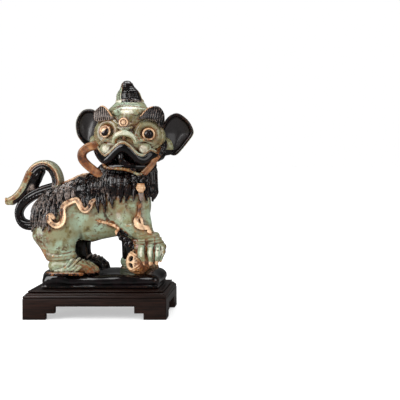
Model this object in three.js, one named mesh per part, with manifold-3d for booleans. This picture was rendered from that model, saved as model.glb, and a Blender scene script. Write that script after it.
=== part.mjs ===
// A guardian lion ("foo dog") of glazed stoneware that stands, right forepaw on a pierced ball, on a carved wooden
// stand. The lion is hand-built: press-moulded body and limbs with ears, eyes, brows, straps, scrolls, mane and tail
// luted on before firing. The stand is joinery: four mitred bracket-foot boards, four mitred rails, a top panel and
// four glue blocks. Millimetres, +Z up. The lion's body points along +X and its face turns to -Y, the front.
import * as THREE from "three";
import { ConvexGeometry } from "three/addons/geometries/ConvexGeometry.js";
import { mergeVertices } from "three/addons/utils/BufferGeometryUtils.js";
import Module from "manifold-3d";

const wasm = await Module();
wasm.setup();

// ---- driving dimensions -------------------------------------------------------------------------------------------
const STAND = { length: 202, depth: 116, height: 40 };
const BOARD = { thick: 9, top: 29.5 }; // bracket-foot boards
const FOOT = { toe: 32, knee: 45, step: 9, apron: 18.6 }; // widths at the floor and above the step, and the two heights
const SIDE_FOOT = { toe: 24, knee: 34 };
const RAIL = { thick: 16, top: 37, ledge: 34 };
const PANEL = { length: 190, depth: 105, lip: 38, tongue: 1.5 };
const BLOCK = { size: 11, bottom: 12 };
const PLINTH = { length: 170, depth: 80, shoulder: 50, top: 60, slope: 8, wall: 8, at: 3.5 };
const BALL = { at: [56, -21, 76], radius: 18.5 };
const EYES = { right: [12, -37, 265.5], left: [75, -37, 262], ball: 8.5, ring: 9, ringThick: 2.7 };
const TAIL = { wide: 26, stem: 12, curl: 10 };
const JOINT_GAP = 0.3; // the glaze line between two luted pieces
const LIFT_GAP = 0.1; // the loose lion stands this far above the panel
const STAND_SHIFT = 6.4; // the stand's centre, from the centre of the whole object's box

const CLAY = { jade: "#93a78c", black: "#17120f", tan: "#c08a5a" };
const WOOD = "#33211c";

// ---- solids -------------------------------------------------------------------------------------------------------
function solidOf(geometry) {
  const bare = geometry.index ? geometry.toNonIndexed() : geometry.clone();
  bare.deleteAttribute("normal");
  bare.deleteAttribute("uv");
  const merged = mergeVertices(bare, 1e-4);
  const mesh = new wasm.Mesh({
    numProp: 3,
    vertProperties: merged.attributes.position.array,
    triVerts: new Uint32Array(merged.index.array),
  });
  return new wasm.Manifold(mesh);
}

function geometryOf(solid) {
  const mesh = solid.getMesh();
  const geometry = new THREE.BufferGeometry();
  geometry.setAttribute("position", new THREE.BufferAttribute(mesh.vertProperties, 3));
  geometry.setIndex(new THREE.BufferAttribute(mesh.triVerts, 1));
  return geometry;
}

const join = (solids) => solids.reduce((sum, s) => sum.add(s));

// A blob is an ellipsoid of clay: { at, r, turn }, with turn in degrees about X, Y and Z.
function blob(at, r, turn = [0, 0, 0]) {
  return { at, r: Array.isArray(r) ? r : [r, r, r], turn };
}

function blobPoints(b, grow, around, rings) {
  const ball = new THREE.SphereGeometry(1, around, rings);
  const euler = new THREE.Euler(...b.turn.map(THREE.MathUtils.degToRad));
  const matrix = new THREE.Matrix4().compose(
    new THREE.Vector3(...b.at),
    new THREE.Quaternion().setFromEuler(euler),
    new THREE.Vector3(...b.r.map((x) => x + grow)),
  );
  ball.applyMatrix4(matrix);
  const p = ball.attributes.position;
  return Array.from({ length: p.count }, (_, i) => new THREE.Vector3().fromBufferAttribute(p, i));
}

// One convex lump round the blobs, as clay pressed over them.
function lump(blobs, grow = 0, around = 9, rings = 6) {
  return solidOf(new ConvexGeometry(blobs.flatMap((b) => blobPoints(b, grow, around, rings))));
}

// A limb: each blob drawn out to the next.
function limb(blobs, grow = 0, around = 9, rings = 6) {
  return join(blobs.slice(1).map((b, i) => lump([blobs[i], b], grow, around, rings)));
}

// A rolled coil of clay of one thickness along a route.
function coil(route, radius, grow, steps = 18, closed = false) {
  const curve = new THREE.CatmullRomCurve3(route.map((p) => new THREE.Vector3(...p)), closed);
  const section = new THREE.Shape();
  section.absellipse(0, 0, radius + grow, radius + grow, 0, 2 * Math.PI);
  return solidOf(new THREE.ExtrudeGeometry(section, { steps, curveSegments: 4, extrudePath: curve, bevelEnabled: false }));
}

// A flat ribbon of clay in the XZ plane: thick in the plane, wide along Y.
function ribbon(route, thick, wide, grow, steps) {
  const curve = new THREE.CatmullRomCurve3(route.map(([x, z]) => new THREE.Vector3(x, 0, z)));
  const section = new THREE.Shape();
  section.absellipse(0, 0, wide / 2 + grow, thick / 2 + grow, 0, 2 * Math.PI);
  const swept = new THREE.ExtrudeGeometry(section, { steps, curveSegments: 4, extrudePath: curve, bevelEnabled: false });
  return solidOf(swept);
}

// How far out along Y the surface of a limb through some blobs lies at a place on the lion's side.
function reachOf(blobs, x, z) {
  const mix = (a, b, t) => a.map((v, k) => v + t * (b[k] - v));
  let reach = 0;
  for (let i = 0; i < blobs.length; i++) {
    const [a, b] = [blobs[i], blobs[Math.min(i + 1, blobs.length - 1)]];
    for (const t of [0, 0.25, 0.5, 0.75]) {
      const [at, r] = [mix(a.at, b.at, t), mix(a.r, b.r, t)];
      const inside = 1 - ((x - at[0]) / r[0]) ** 2 - ((z - at[2]) / r[2]) ** 2;
      if (inside > 0) reach = Math.max(reach, Math.abs(at[1]) + r[1] * Math.sqrt(inside));
    }
  }
  return reach;
}

function prism(outline, bottom, top) {
  const shape = new THREE.Shape(outline.map(([x, y]) => new THREE.Vector2(x, y)));
  const geometry = new THREE.ExtrudeGeometry(shape, { depth: top - bottom, bevelEnabled: false });
  return solidOf(geometry.translate(0, 0, bottom));
}

function slab(length, depth, bottom, top) {
  const geometry = new THREE.BoxGeometry(length, depth, top - bottom);
  return solidOf(geometry.translate(0, 0, (bottom + top) / 2));
}

function roundedOutline(length, depth, corner) {
  const [x, y] = [length / 2, depth / 2];
  const shape = new THREE.Shape();
  shape.moveTo(-x + corner, -y).lineTo(x - corner, -y).quadraticCurveTo(x, -y, x, -y + corner);
  shape.lineTo(x, y - corner).quadraticCurveTo(x, y, x - corner, y);
  shape.lineTo(-x + corner, y).quadraticCurveTo(-x, y, -x, y - corner);
  shape.lineTo(-x, -y + corner).quadraticCurveTo(-x, -y, -x + corner, -y);
  return shape;
}

// ---- the lion's pieces: each is a function of how much it is grown, so that it can also cut its neighbours ---------
function plinth(grow) {
  const { length, depth, shoulder, top, slope, wall, at } = PLINTH;
  const bottom = STAND.height + LIFT_GAP;
  const block = new THREE.ExtrudeGeometry(roundedOutline(length - 2 * slope, depth - 2 * slope, 8), {
    depth: shoulder - bottom,
    bevelSize: slope + grow,
    bevelThickness: top - shoulder + grow,
    bevelSegments: 2,
    curveSegments: 3,
  });
  let solid = solidOf(block.translate(at, 0, bottom));
  solid = solid.subtract(slab(2 * length, 2 * depth, 0, bottom));
  if (grow) return solid;
  const hollow = slab(length - 2 * (wall + slope), depth - 2 * (wall + slope), bottom - 1, top - wall);
  return solid.subtract(hollow.translate([at, 0, 0]));
}

const torsoBlobs = [
  blob([-58, 0, 146], [34, 31, 38]),
  blob([-18, 0, 149], [32, 32, 47]),
  blob([36, -1, 158], [36, 33, 44]),
];
const rightHaunch = blob([-60, -19, 136], [34, 19, 34]);
const leftHaunch = blob([-56, 19, 136], [34, 18, 34]);

// The torso is a hollow casting: the firing hole is under the belly.
function torso(grow) {
  const skin = limb(torsoBlobs, grow, 12, 8);
  if (grow) return skin;
  const thick = 9;
  const inside = limb(torsoBlobs.map((b) => ({ ...b, r: b.r.map((x) => x - thick) })), 0, 7, 5);
  const firingHole = new THREE.CylinderGeometry(6, 6, 60, 8).rotateX(Math.PI / 2).translate(-2, 0, 110);
  return skin.subtract(inside).subtract(solidOf(firingHole));
}

// The neck and the head are hollow too, and open into each other.
const throat = (bottom, top) => solidOf(
  new THREE.CylinderGeometry(12, 12, top - bottom, 10).rotateX(Math.PI / 2).translate(42, 6, (bottom + top) / 2),
);

function neck(grow) {
  const solid = limb([blob([40, -2, 190], [33, 30, 18]), blob([42, 6, 240], [34, 20, 16])], grow);
  return grow ? solid : solid.subtract(throat(150, 280));
}


const rightForeleg = (grow) => limb([
  blob([46, -19, 166], [26, 15, 24]),
  blob([49, -22, 136], [26, 16, 20]),
  blob([70, -26, 112], [19, 15, 10]),
], grow);

const leftForeleg = (grow) => limb([
  blob([42, 20, 160], [26, 13, 24]),
  blob([37, 22, 118], [15, 13, 16]),
  blob([36, 23, 80], [13, 12, 10]),
], grow);

const rightHindleg = (grow) => limb([
  rightHaunch,
  blob([-57, -22, 112], [29, 17, 18]),
  blob([-52, -25, 86], [24, 14, 10]),
], grow);

const leftHindleg = (grow) => limb([
  leftHaunch,
  blob([-44, 22, 108], [21, 14, 18]),
  blob([-36, 23, 84], [16, 13, 10]),
], grow);

// A standing paw: heel, instep and four toes that spread forward along +X.
function standingPaw(heel, reach, grow) {
  const [x, y, z] = heel;
  const sole = limb([blob([x, y, z], [17, 13, 11]), blob([x + 0.55 * reach, y, z + 3], [17, 15, 12])], grow);
  const toes = [-1.5, -0.5, 0.5, 1.5].map((i) => limb([
    blob([x + 0.7 * reach, y + 7.2 * i, z + 1 - Math.abs(i)], [9, 5, 8]),
    blob([x + reach - 4 * Math.abs(i), y + 8 * i, z - 4], [9, 4.6, 7]),
  ], grow, 6, 4));
  return join([sole, ...toes]);
}

const rightHindpaw = (grow) => standingPaw([-57, -25, 68], 52, grow);
const leftHindpaw = (grow) => standingPaw([-38, 24, 68], 38, grow);
const leftForepaw = (grow) => standingPaw([37, 24, 67], 36, grow);

// The right forepaw folds down over the ball.
function rightForepaw(grow) {
  const palm = lump([blob([70, -28, 101], [17, 13, 8]), blob([76, -30, 99], [18, 12, 9])], grow);
  const toes = [0, 1, 2, 3].map((i) => {
    const [x, y] = [61 + 9.6 * i, -38 + 1.1 * i * i];
    return limb([blob([x, y, 97], [5.4, 8, 9]), blob([x + 1.5, y - 2, 83], [5, 6.5, 9])], grow, 7, 5);
  });
  return join([palm, ...toes]);
}

// The ball is hollow and pierced: six round windows let the inside show.
function ball(grow) {
  const { at, radius } = BALL;
  const sphere = (r, n) => solidOf(new THREE.SphereGeometry(r, n, Math.round(n / 2)));
  if (grow) return sphere(radius + grow, 16).translate(at);
  const windows = [0, 60, 120].map((angle) => {
    const rod = new THREE.CylinderGeometry(3.4, 3.4, 3 * radius, 6).rotateZ(Math.PI / 2);
    return solidOf(rod.rotateY(THREE.MathUtils.degToRad(angle + 20)).rotateZ(THREE.MathUtils.degToRad(35)));
  });
  return sphere(radius, 16).subtract(sphere(radius - 5, 10)).subtract(join(windows)).translate(at);
}

const skull = [blob([42, -4, 272], [42, 34, 34]), blob([42, -14, 248], [46, 36, 15])];
const muzzle = [blob([42, -36, 246], [32, 20, 15]), blob([42, -20, 250], [44, 24, 16])];
const MOUTH = blob([42, -34, 226], [33, 27, 17]);

function head(grow) {
  const solid = join([lump(skull, grow, 14, 10), lump(muzzle, grow, 12, 8)]);
  if (grow) return solid;
  const inside = lump([blob([42, -2, 273], [33, 25, 25])], 0, 8, 6);
  return solid.subtract(lump([MOUTH], 0, 12, 8)).subtract(inside).subtract(throat(225, 270));
}

// The lower jaw is a shallow tray: the mouth stands open above it.
function lowerJaw(grow) {
  const tray = lump([blob([42, -26, 216], [38, 28, 12]), blob([42, -12, 224], [38, 20, 14])], grow, 14, 8);
  if (grow) return tray;
  return tray.subtract(lump([MOUTH], 0, 12, 8));
}

const tongue = (grow) => limb([blob([42, -26, 215], [12, 16, 4]), blob([43, -44, 218], [9, 7, 4])], grow);

// An eye is a glazed ball in a ring of rolled clay.
const eyeball = (at) => (grow) => lump([blob(at, EYES.ball)], grow, 10, 6);

function eyeRing([x, y, z]) {
  return (grow) => {
    const ring = new THREE.TorusGeometry(EYES.ring, EYES.ringThick + grow, 5, 14).rotateX(Math.PI / 2);
    return solidOf(ring.translate(x, y - 3, z));
  };
}

const brow = (side, x) => (grow) => limb([
  blob([x - side * 14, -34, 284], [6, 5, 6]),
  blob([x, -32, 292], [11, 5, 9]),
  blob([x + side * 11, -24, 286], [7, 6, 9]),
], grow, 8, 5);

// An ear is a cupped leaf that stands out from the head, hollow side forward.
function ear(side, middle, size, lean) {
  return (grow) => {
    const [w, d, h] = size;
    const leaf = lump([
      blob(middle, [w, d, h], [0, lean, 0]),
      blob([middle[0] - side * w * 0.7, middle[1] + 3, middle[2] - 3], [w * 0.6, d, h * 0.7], [0, lean, 0]),
    ], grow, 12, 6);
    if (grow) return leaf;
    const cup = blob([middle[0], middle[1] - d, middle[2]], [w * 0.78, d * 1.1, h * 0.78], [0, lean, 0]);
    return leaf.subtract(lump([cup], 0, 10, 6));
  };
}

const nose = (grow) => limb([
  blob([27, -51, 250], [6, 6, 5]),
  blob([42, -51, 259], [9, 6, 7]),
  blob([57, -51, 250], [6, 6, 5]),
], grow, 8, 5);

const knob = (at, r) => (grow) => lump([blob(at, r)], grow, 8, 6);

const topknot = (grow) => limb([
  blob([40, 0, 300], [22, 17, 7]),
  blob([37, 2, 318], [16, 12, 10]),
  blob([35, 4, 332], [9, 8, 9]),
], grow, 10, 6);

// A strap of clay runs from the corner of the mouth out and down to the neck.
const rightStrap = (grow) => coil([
  [3, -24, 245], [-11, -24, 244], [-21, -23, 237], [-24, -22, 227],
  [-17, -22, 217], [-7, -21, 209], [8, -20, 199],
], 6, grow);
const leftStrap = (grow) => coil([
  [80, -24, 248], [91, -27, 245], [94, -30, 236], [88, -34, 222], [77, -37, 210], [62, -30, 200],
], 5, grow);

const chestMane = (grow) => limb([
  blob([37, -3, 205], [43, 34, 20]),
  blob([36, -4, 190], [44, 38, 26]),
  blob([41, -4, 176], [39, 36, 20]),
], grow, 11, 6);

const backMane = (grow) => limb([
  blob([10, 0, 186], [26, 34, 22]),
  blob([-25, 0, 178], [20, 34, 24]),
  blob([-58, 0, 165], [24, 33, 22]),
], grow, 10, 6);

const rumpMane = (grow) => limb([
  blob([-72, 0, 164], [14, 31, 20]),
  blob([-82, 0, 148], [15, 35, 17]),
  blob([-85, 0, 139], [13, 34, 12]),
], grow, 10, 6);

const scrollPath = [[-64, 145], [-68, 143], [-63, 135], [-56, 131], [-49, 135], [-46, 144], [-48, 153], [-46, 162],
  [-40, 167], [-32, 170], [-26, 164], [-22, 156], [-16, 152], [-11, 157], [-8, 165]];

// A scroll of clay lies along each flank: side is -1 on the right flank and +1 on the left.
function flankScroll(side) {
  const haunch = side < 0 ? rightHaunch : leftHaunch;
  const reach = (x, z) => Math.max(reachOf(torsoBlobs, x, z), reachOf([haunch], x, z)) + 2.6;
  return (grow) => coil(scrollPath.map(([x, z]) => [x, side * reach(x, z), z]), 3.4, grow, 28);
}

// A flame of clay runs down the front of each foreleg: dx moves it along with the leg.
function legScroll(side, dx) {
  const path = [[63, 32, 162], [63, 35, 148], [57, 39, 138], [62, 39, 131], [70, 37, 128], [77, 34, 128]];
  return (grow) => coil(path.map(([x, y, z]) => [x + dx, side * y, z]), 3, grow, 12);
}

const elbowTuft = (side, x, y, z) => (grow) => limb([
  blob([x, side * y, z], [9, 7, 6]),
  blob([x + 11, side * (y + 2), z - 7], [8, 6, 6]),
], grow, 8, 5);

const bell = (grow) => limb([blob([63, -43, 193], [5, 4, 4]), blob([64, -45, 184], [6, 6, 6])], grow, 10, 6);

// The tail leaves the rump, loops back up to the spine, curls over and ends in a flame-shaped plume.
const tailStem = (grow) => ribbon([
  [-92, 127], [-106, 125], [-119, 127], [-125, 136], [-124, 149], [-117, 161], [-106, 170], [-92, 177], [-76, 181],
], TAIL.stem, TAIL.wide - 4, grow, 22);
const tailCurl = (grow) => ribbon([
  [-69, 180], [-66, 190], [-68, 203], [-74, 213], [-83, 217], [-93, 214], [-101, 206],
], TAIL.curl, TAIL.wide, grow, 14);
const tailPlume = (grow) => limb([
  blob([-101, 0, 203], [8, 13, 7]),
  blob([-110, 0, 188], [7, 14, 9]),
  blob([-120, 0, 172], [7, 14, 8]),
  blob([-129, 0, 164], [8, 11, 5.5]),
  blob([-137.5, 0, 163], [6, 6, 6]),
], grow, 9, 6);

// In this order, each piece keeps clear of all those before it.
const LION = [
  ["plinth", plinth, CLAY.black],
  ["right_eyeball", eyeball(EYES.right), CLAY.black],
  ["left_eyeball", eyeball(EYES.left), CLAY.black],
  ["right_eye_ring", eyeRing(EYES.right), CLAY.tan],
  ["left_eye_ring", eyeRing(EYES.left), CLAY.tan],
  ["torso", torso, CLAY.jade],
  ["head", head, CLAY.jade],
  ["tongue", tongue, CLAY.black],
  ["lower_jaw", lowerJaw, CLAY.black],
  ["ball", ball, CLAY.tan],
  ["neck", neck, CLAY.black],
  ["right_foreleg", rightForeleg, CLAY.jade],
  ["left_foreleg", leftForeleg, CLAY.jade],
  ["right_hindleg", rightHindleg, CLAY.jade],
  ["left_hindleg", leftHindleg, CLAY.jade],
  ["right_forepaw", rightForepaw, CLAY.jade],
  ["left_forepaw", leftForepaw, CLAY.jade],
  ["right_hindpaw", rightHindpaw, CLAY.jade],
  ["left_hindpaw", leftHindpaw, CLAY.jade],
  ["topknot", topknot, CLAY.jade],
  ["right_brow", brow(-1, 8), CLAY.black],
  ["left_brow", brow(1, 76), CLAY.black],
  ["nose", nose, CLAY.jade],
  ["forehead_boss", knob([41, -41, 277], [6, 5, 6]), CLAY.tan],
  ["right_forehead_curl", knob([28, -33, 290], [7, 5, 6]), CLAY.jade],
  ["left_forehead_curl", knob([56, -33, 291], [6, 5, 5]), CLAY.jade],
  ["right_ear", ear(-1, [-19, -8, 271], [16, 8, 25], 14), CLAY.black],
  ["left_ear", ear(1, [108, -8, 262], [23, 8, 28], -14), CLAY.black],
  ["right_strap", rightStrap, CLAY.tan],
  ["left_strap", leftStrap, CLAY.tan],
  ["bell", bell, CLAY.tan],
  ["right_scroll", flankScroll(-1), CLAY.tan],
  ["left_scroll", flankScroll(1), CLAY.tan],
  ["right_leg_scroll", legScroll(-1, 0), CLAY.tan],
  ["left_leg_scroll", legScroll(1, -12), CLAY.tan],
  ["chest_mane", chestMane, CLAY.black],
  ["tail_stem", tailStem, CLAY.black],
  ["tail_curl", tailCurl, CLAY.black],
  ["tail_plume", tailPlume, CLAY.jade],
  ["rump_mane", rumpMane, CLAY.black],
  ["back_mane", backMane, CLAY.black],
  ["right_elbow_tuft", elbowTuft(-1, 35, 30, 114), CLAY.black],
  ["left_elbow_tuft", elbowTuft(1, 20, 26, 122), CLAY.black],
];

// ---- the stand ----------------------------------------------------------------------------------------------------
// The plan of one of four mitred members round a length by depth rectangle. side is -1 for front or left.
function mitredPlan(length, depth, thick, along, side) {
  const [half, reach] = along === "x" ? [length / 2, depth / 2] : [depth / 2, length / 2];
  const ease = along === "x" ? JOINT_GAP : 0;
  const corners = [
    [-half + ease, reach], [half - ease, reach], [half - thick - ease, reach - thick], [-half + thick + ease, reach - thick],
  ];
  const placed = corners.map(([u, v]) => (along === "x" ? [u, side * v] : [side * v, u]));
  return side * (along === "x" ? 1 : -1) < 0 ? placed : placed.reverse();
}

// A bracket-foot board: stepped feet at both ends and a straight apron between them.
function bracketOutline(length, foot) {
  const half = length / 2;
  const { step, apron } = FOOT;
  const right = [
    [half, BOARD.top], [half, 0], [half - foot.toe, 0], [half - foot.toe, step], [half - foot.knee, step],
    [half - foot.knee, apron],
  ];
  return [...right, ...right.map(([x, z]) => [-x, z]).reverse()];
}

function board(along, side) {
  const { length, depth } = STAND;
  const outline = along === "x" ? bracketOutline(length, FOOT) : bracketOutline(depth, SIDE_FOOT);
  const cut = prism(outline, -length, length).rotate([90, 0, along === "x" ? 0 : 90]);
  return cut.intersect(prism(mitredPlan(length, depth, BOARD.thick, along, side), 0, BOARD.top));
}

function rail(along, side) {
  const { length, depth } = STAND;
  const inset = RAIL.top - RAIL.ledge;
  const bottom = BOARD.top + JOINT_GAP;
  const lower = prism(mitredPlan(length, depth, RAIL.thick, along, side), bottom, RAIL.ledge);
  const trimmed = mitredPlan(length - 2 * inset, depth - 2 * inset, RAIL.thick - inset, along, side);
  return lower.add(prism(trimmed, RAIL.ledge, RAIL.top));
}

function panel() {
  const { length, depth, lip, tongue: drop } = PANEL;
  const plate = slab(length, depth, lip, STAND.height);
  return plate.add(slab(length - 4, depth - 4, lip - drop + JOINT_GAP + 0.5, lip));
}

function glueBlock(sideX, sideY) {
  const { size, bottom } = BLOCK;
  const [x, y] = [STAND.length, STAND.depth].map((d) => d / 2 - BOARD.thick - JOINT_GAP - size / 2);
  return slab(size, size, bottom, BOARD.top).translate([sideX * x, sideY * y, 0]);
}

const SIDES = { front: ["x", -1], back: ["x", 1], left: ["y", -1], right: ["y", 1] };
const WOODWORK = [["stand_panel", panel()]];
for (const [name, [along, side]] of Object.entries(SIDES)) {
  WOODWORK.push([`stand_board_${name}`, board(along, side)]);
  WOODWORK.push([`stand_rail_${name}`, rail(along, side)]);
}
for (const [frontBack, sideY] of [["front", -1], ["back", 1]]) {
  for (const [leftRight, sideX] of [["left", -1], ["right", 1]]) {
    WOODWORK.push([`glue_block_${frontBack}_${leftRight}`, glueBlock(sideX, sideY)]);
  }
}

// ---- assembly -----------------------------------------------------------------------------------------------------
function largest(solid) {
  const bodies = solid.decompose();
  return bodies.reduce((best, s) => (s.volume() > best.volume() ? s : best));
}

function boxesMeet(a, b) {
  return [0, 1, 2].every((k) => a.min[k] <= b.max[k] && b.min[k] <= a.max[k]);
}

function named(name, solid, material) {
  const mesh = new THREE.Mesh(geometryOf(solid), material);
  mesh.name = name;
  return mesh;
}

const lion = new THREE.Group();
const cutters = [];
for (const [name, make, color] of LION) {
  let solid = make(0);
  for (const cutter of cutters) {
    if (boxesMeet(cutter.boundingBox(), solid.boundingBox())) solid = solid.subtract(cutter);
  }
  const roughness = color === CLAY.tan ? 0.45 : 0.2;
  lion.add(named(name, largest(solid), new THREE.MeshStandardMaterial({ color, roughness, metalness: 0 })));
  cutters.push(make(JOINT_GAP));
}

const stand = new THREE.Group();
for (const [name, solid] of WOODWORK) {
  stand.add(named(name, solid, new THREE.MeshStandardMaterial({ color: WOOD, roughness: 0.4, metalness: 0 })));
}

const statue = new THREE.Group();
statue.add(stand, lion);
statue.position.x = STAND_SHIFT;
export default statue;
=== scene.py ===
"""A glazed stoneware guardian lion with its right forepaw on a pierced ball, on its dark wooden stand.

Every ceramic piece is shaped as clay on a grid of signed distances, then skinned. Lengths are millimetres
from the middle of the stand at table level (+X to the lion's head end, -Y to the front, +Z up) until a mesh
is made.
"""
import math

import bmesh
import bpy
import numpy as np
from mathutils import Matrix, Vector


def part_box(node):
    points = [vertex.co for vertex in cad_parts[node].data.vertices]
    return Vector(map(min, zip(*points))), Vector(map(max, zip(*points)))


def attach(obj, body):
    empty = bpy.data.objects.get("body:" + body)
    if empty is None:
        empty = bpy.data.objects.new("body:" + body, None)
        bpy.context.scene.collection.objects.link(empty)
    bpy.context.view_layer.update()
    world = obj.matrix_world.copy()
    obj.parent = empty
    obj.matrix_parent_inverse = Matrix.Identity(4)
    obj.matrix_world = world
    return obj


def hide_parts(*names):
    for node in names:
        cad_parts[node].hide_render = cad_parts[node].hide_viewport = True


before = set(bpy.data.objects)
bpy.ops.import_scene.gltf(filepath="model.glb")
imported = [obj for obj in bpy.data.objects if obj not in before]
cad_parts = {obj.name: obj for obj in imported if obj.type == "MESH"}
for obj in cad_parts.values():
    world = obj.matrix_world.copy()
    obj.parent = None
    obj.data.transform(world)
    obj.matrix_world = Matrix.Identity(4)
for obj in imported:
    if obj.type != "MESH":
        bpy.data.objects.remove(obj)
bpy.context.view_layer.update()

MM = 0.001
FAR = 30.0  # a distance that stands for "nowhere near"
REACH = 5.0  # how far round a shape its distances are worked out
COARSE, FINE = 0.9, 0.7  # grid steps
TINY = 1e-6  # keeps a divisor from being 0
FULL = 2 * math.pi
CORNERS = np.array([(i, j, k) for i in (0, 1) for j in (0, 1) for k in (0, 1)])  # of a grid cell
STAIN_REACH = 4.5  # about how far from a luted edge the glaze is brown
RIDGE_REACH = 2.4  # how wide a hollow or a ridge is, for the glaze
RNG = np.random.default_rng(8)

panel_low, panel_high = (np.array(corner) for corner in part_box("stand_panel"))
HOME = np.array([(panel_low[0] + panel_high[0]) / 2, (panel_low[1] + panel_high[1]) / 2, 0.0])


def node_box(node):
    """A CAD node's corners, in millimetres from the middle of the stand."""
    return [(np.array(corner) - HOME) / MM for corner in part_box(node)]


def node_middle(node):
    return sum(node_box(node)) / 2


def fade(value, low, high):
    """0 where the value is at low or past it, and 1 where it is at high."""
    t = np.clip((value - low) / (high - low), 0, 1)
    return t * t * (3 - 2 * t)


def hump(value, middle, width):
    """1 at the middle, falling to 0.37 at one width away from it."""
    return np.exp(-(((value - middle) / width) ** 2))


def bands(value, period):
    """Waves between 0 and 1."""
    return 0.5 + 0.5 * np.cos(value * FULL / period)


def unit(vectors):
    return vectors / np.maximum(np.linalg.norm(vectors, axis=-1, keepdims=True), TINY)


# ---- clay: signed distances on a grid ------------------------------------------------------------------
def smooth_min(a, b, blend):
    h = np.maximum(blend - np.abs(a - b), 0) / max(blend, TINY)
    return np.minimum(a, b) - h * h * blend / 4


class Clay:
    """Signed distances, negative inside, on a grid round one piece."""

    def __init__(self, low, high, step=FINE):
        self.step = step
        self.first = np.floor(np.array(low, float) / step).astype(int) - 4
        last = np.ceil(np.array(high, float) / step).astype(int) + 4
        self.d = np.full(tuple(last - self.first + 1), FAR, np.float32)

    @classmethod
    def round(cls, points, margin, step=FINE):
        return cls(points.min(axis=0) - margin, points.max(axis=0) + margin, step)

    def window(self, low, high):
        """The slices, and the open x, y and z coordinates, of the part of the grid inside a box."""
        start = np.maximum(np.floor(np.array(low) / self.step).astype(int) - self.first, 0)
        stop = np.minimum(np.ceil(np.array(high) / self.step).astype(int) - self.first + 1, self.d.shape)
        cut = tuple(slice(a, max(a, b)) for a, b in zip(start, stop))
        axes = [np.arange(s.start, s.stop) + f for s, f in zip(cut, self.first)]
        return cut, np.ix_(*[(axis * self.step).astype(np.float32) for axis in axes])

    def whole(self):
        """The open x, y and z coordinates of the whole grid."""
        return self.window(self.first * self.step, (self.first + np.array(self.d.shape)) * self.step)[1]

    def _each(self, lumps, margin):
        for low, high, distance in lumps if isinstance(lumps, list) else [lumps]:
            cut, axes = self.window(np.array(low) - margin, np.array(high) + margin)
            if self.d[cut].size:
                yield cut, distance(*axes)

    def add(self, lumps, blend=2.0):
        for cut, distance in self._each(lumps, blend + REACH):
            self.d[cut] = smooth_min(self.d[cut], distance, blend)
        return self

    def carve(self, lumps, blend=1.0):
        for cut, distance in self._each(lumps, blend + REACH):
            self.d[cut] = -smooth_min(-self.d[cut], distance, blend)
        return self

    def merge(self, other, blend):
        """Adds another clay on the same lattice."""
        shift = other.first - self.first
        start = np.maximum(shift, 0)
        stop = np.minimum(shift + other.d.shape, self.d.shape)
        if (stop > start).all():
            mine = tuple(slice(a, b) for a, b in zip(start, stop))
            theirs = tuple(slice(a, b) for a, b in zip(start - shift, stop - shift))
            self.d[mine] = smooth_min(self.d[mine], other.d[theirs], blend)

    def keep_above(self, level):
        """Cuts away all that is below level, which is a height or, given x, a height at each x."""
        x, y, z = self.whole()
        below = (level(x) if callable(level) else level) - z + 0 * x + 0 * y
        self.d = -smooth_min(-self.d, -below, 0.5).astype(np.float32)
        return self

    def swell(self, amount):
        """Adds amount(x, y, z) millimetres of clay all over."""
        self.d = (self.d - amount(*self.whole())).astype(np.float32)

    def at(self, points):
        """The distance at some points (n, 3)."""
        grid = np.clip(points / self.step - self.first, 0, np.array(self.d.shape) - 1.001)
        cell = grid.astype(int)
        part = (grid - cell).astype(np.float32)
        total = np.zeros(len(points), np.float32)
        for corner in CORNERS:
            weight = np.abs((1 - corner).astype(np.float32) - part)
            total += weight[:, 0] * weight[:, 1] * weight[:, 2] * self.d[tuple((cell + corner).T)]
        return total

    def slope(self, points):
        """The outward direction at some points."""
        nudges = np.eye(3) * self.step
        return unit(np.stack([self.at(points + n) - self.at(points - n) for n in nudges], 1))

    def settle(self, points, above=0.0, rounds=4):
        """The points moved to lie at a height above the clay's surface."""
        for _ in range(rounds):
            points = points - (self.at(points) - above)[:, None] * self.slope(points)
        return points

    def softened(self, radius):
        """The same field, blurred over a radius."""
        soft = Clay.__new__(Clay)
        soft.step, soft.first = self.step, self.first
        d = np.clip(self.d, -REACH, REACH)
        n = max(int(round(radius / self.step)), 1)
        for axis in (0, 1, 2):
            before = np.repeat(np.take(d, [0], axis), n + 1, axis)
            after = np.repeat(np.take(d, [-1], axis), n, axis)
            run = np.cumsum(np.concatenate([before, d, after], axis), axis, dtype=np.float64)
            size = d.shape[axis]
            ahead = np.take(run, range(2 * n + 1, 2 * n + 1 + size), axis)
            behind = np.take(run, range(size), axis)
            d = ((ahead - behind) / (2 * n + 1)).astype(np.float32)
        soft.d = d
        return soft


# ---- lumps of clay: (lowest corner, highest corner, distance) ------------------------------------------
def to_egg(p, r):
    """The distance to an ellipsoid of radii r from places p, which are measured from its centre."""
    near = np.sqrt(sum((q / s) ** 2 for q, s in zip(p, r)))
    nearer = np.sqrt(sum((q / (s * s)) ** 2 for q, s in zip(p, r)))
    return near * (near - 1) / np.maximum(nearer, TINY)


def share_along(a, along, x, y, z):
    """How far along a stretch each place lies, from 0 to 1."""
    t = ((x - a[0]) * along[0] + (y - a[1]) * along[1] + (z - a[2]) * along[2]) / max(along @ along, TINY)
    return np.clip(t, 0, 1)


def egg(at, r, lean=0.0):
    """An ellipsoid, turned about Y by a lean in degrees."""
    at, r = np.array(at, float), np.array(r, float) * np.ones(3)
    c, s = math.cos(math.radians(lean)), math.sin(math.radians(lean))

    def distance(x, y, z):
        x, y, z = x - at[0], y - at[1], z - at[2]
        return to_egg((c * x - s * z, y, s * x + c * z) if lean else (x, y, z), r)

    span = r.max() if lean else r
    return at - span, at + span, distance


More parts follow.
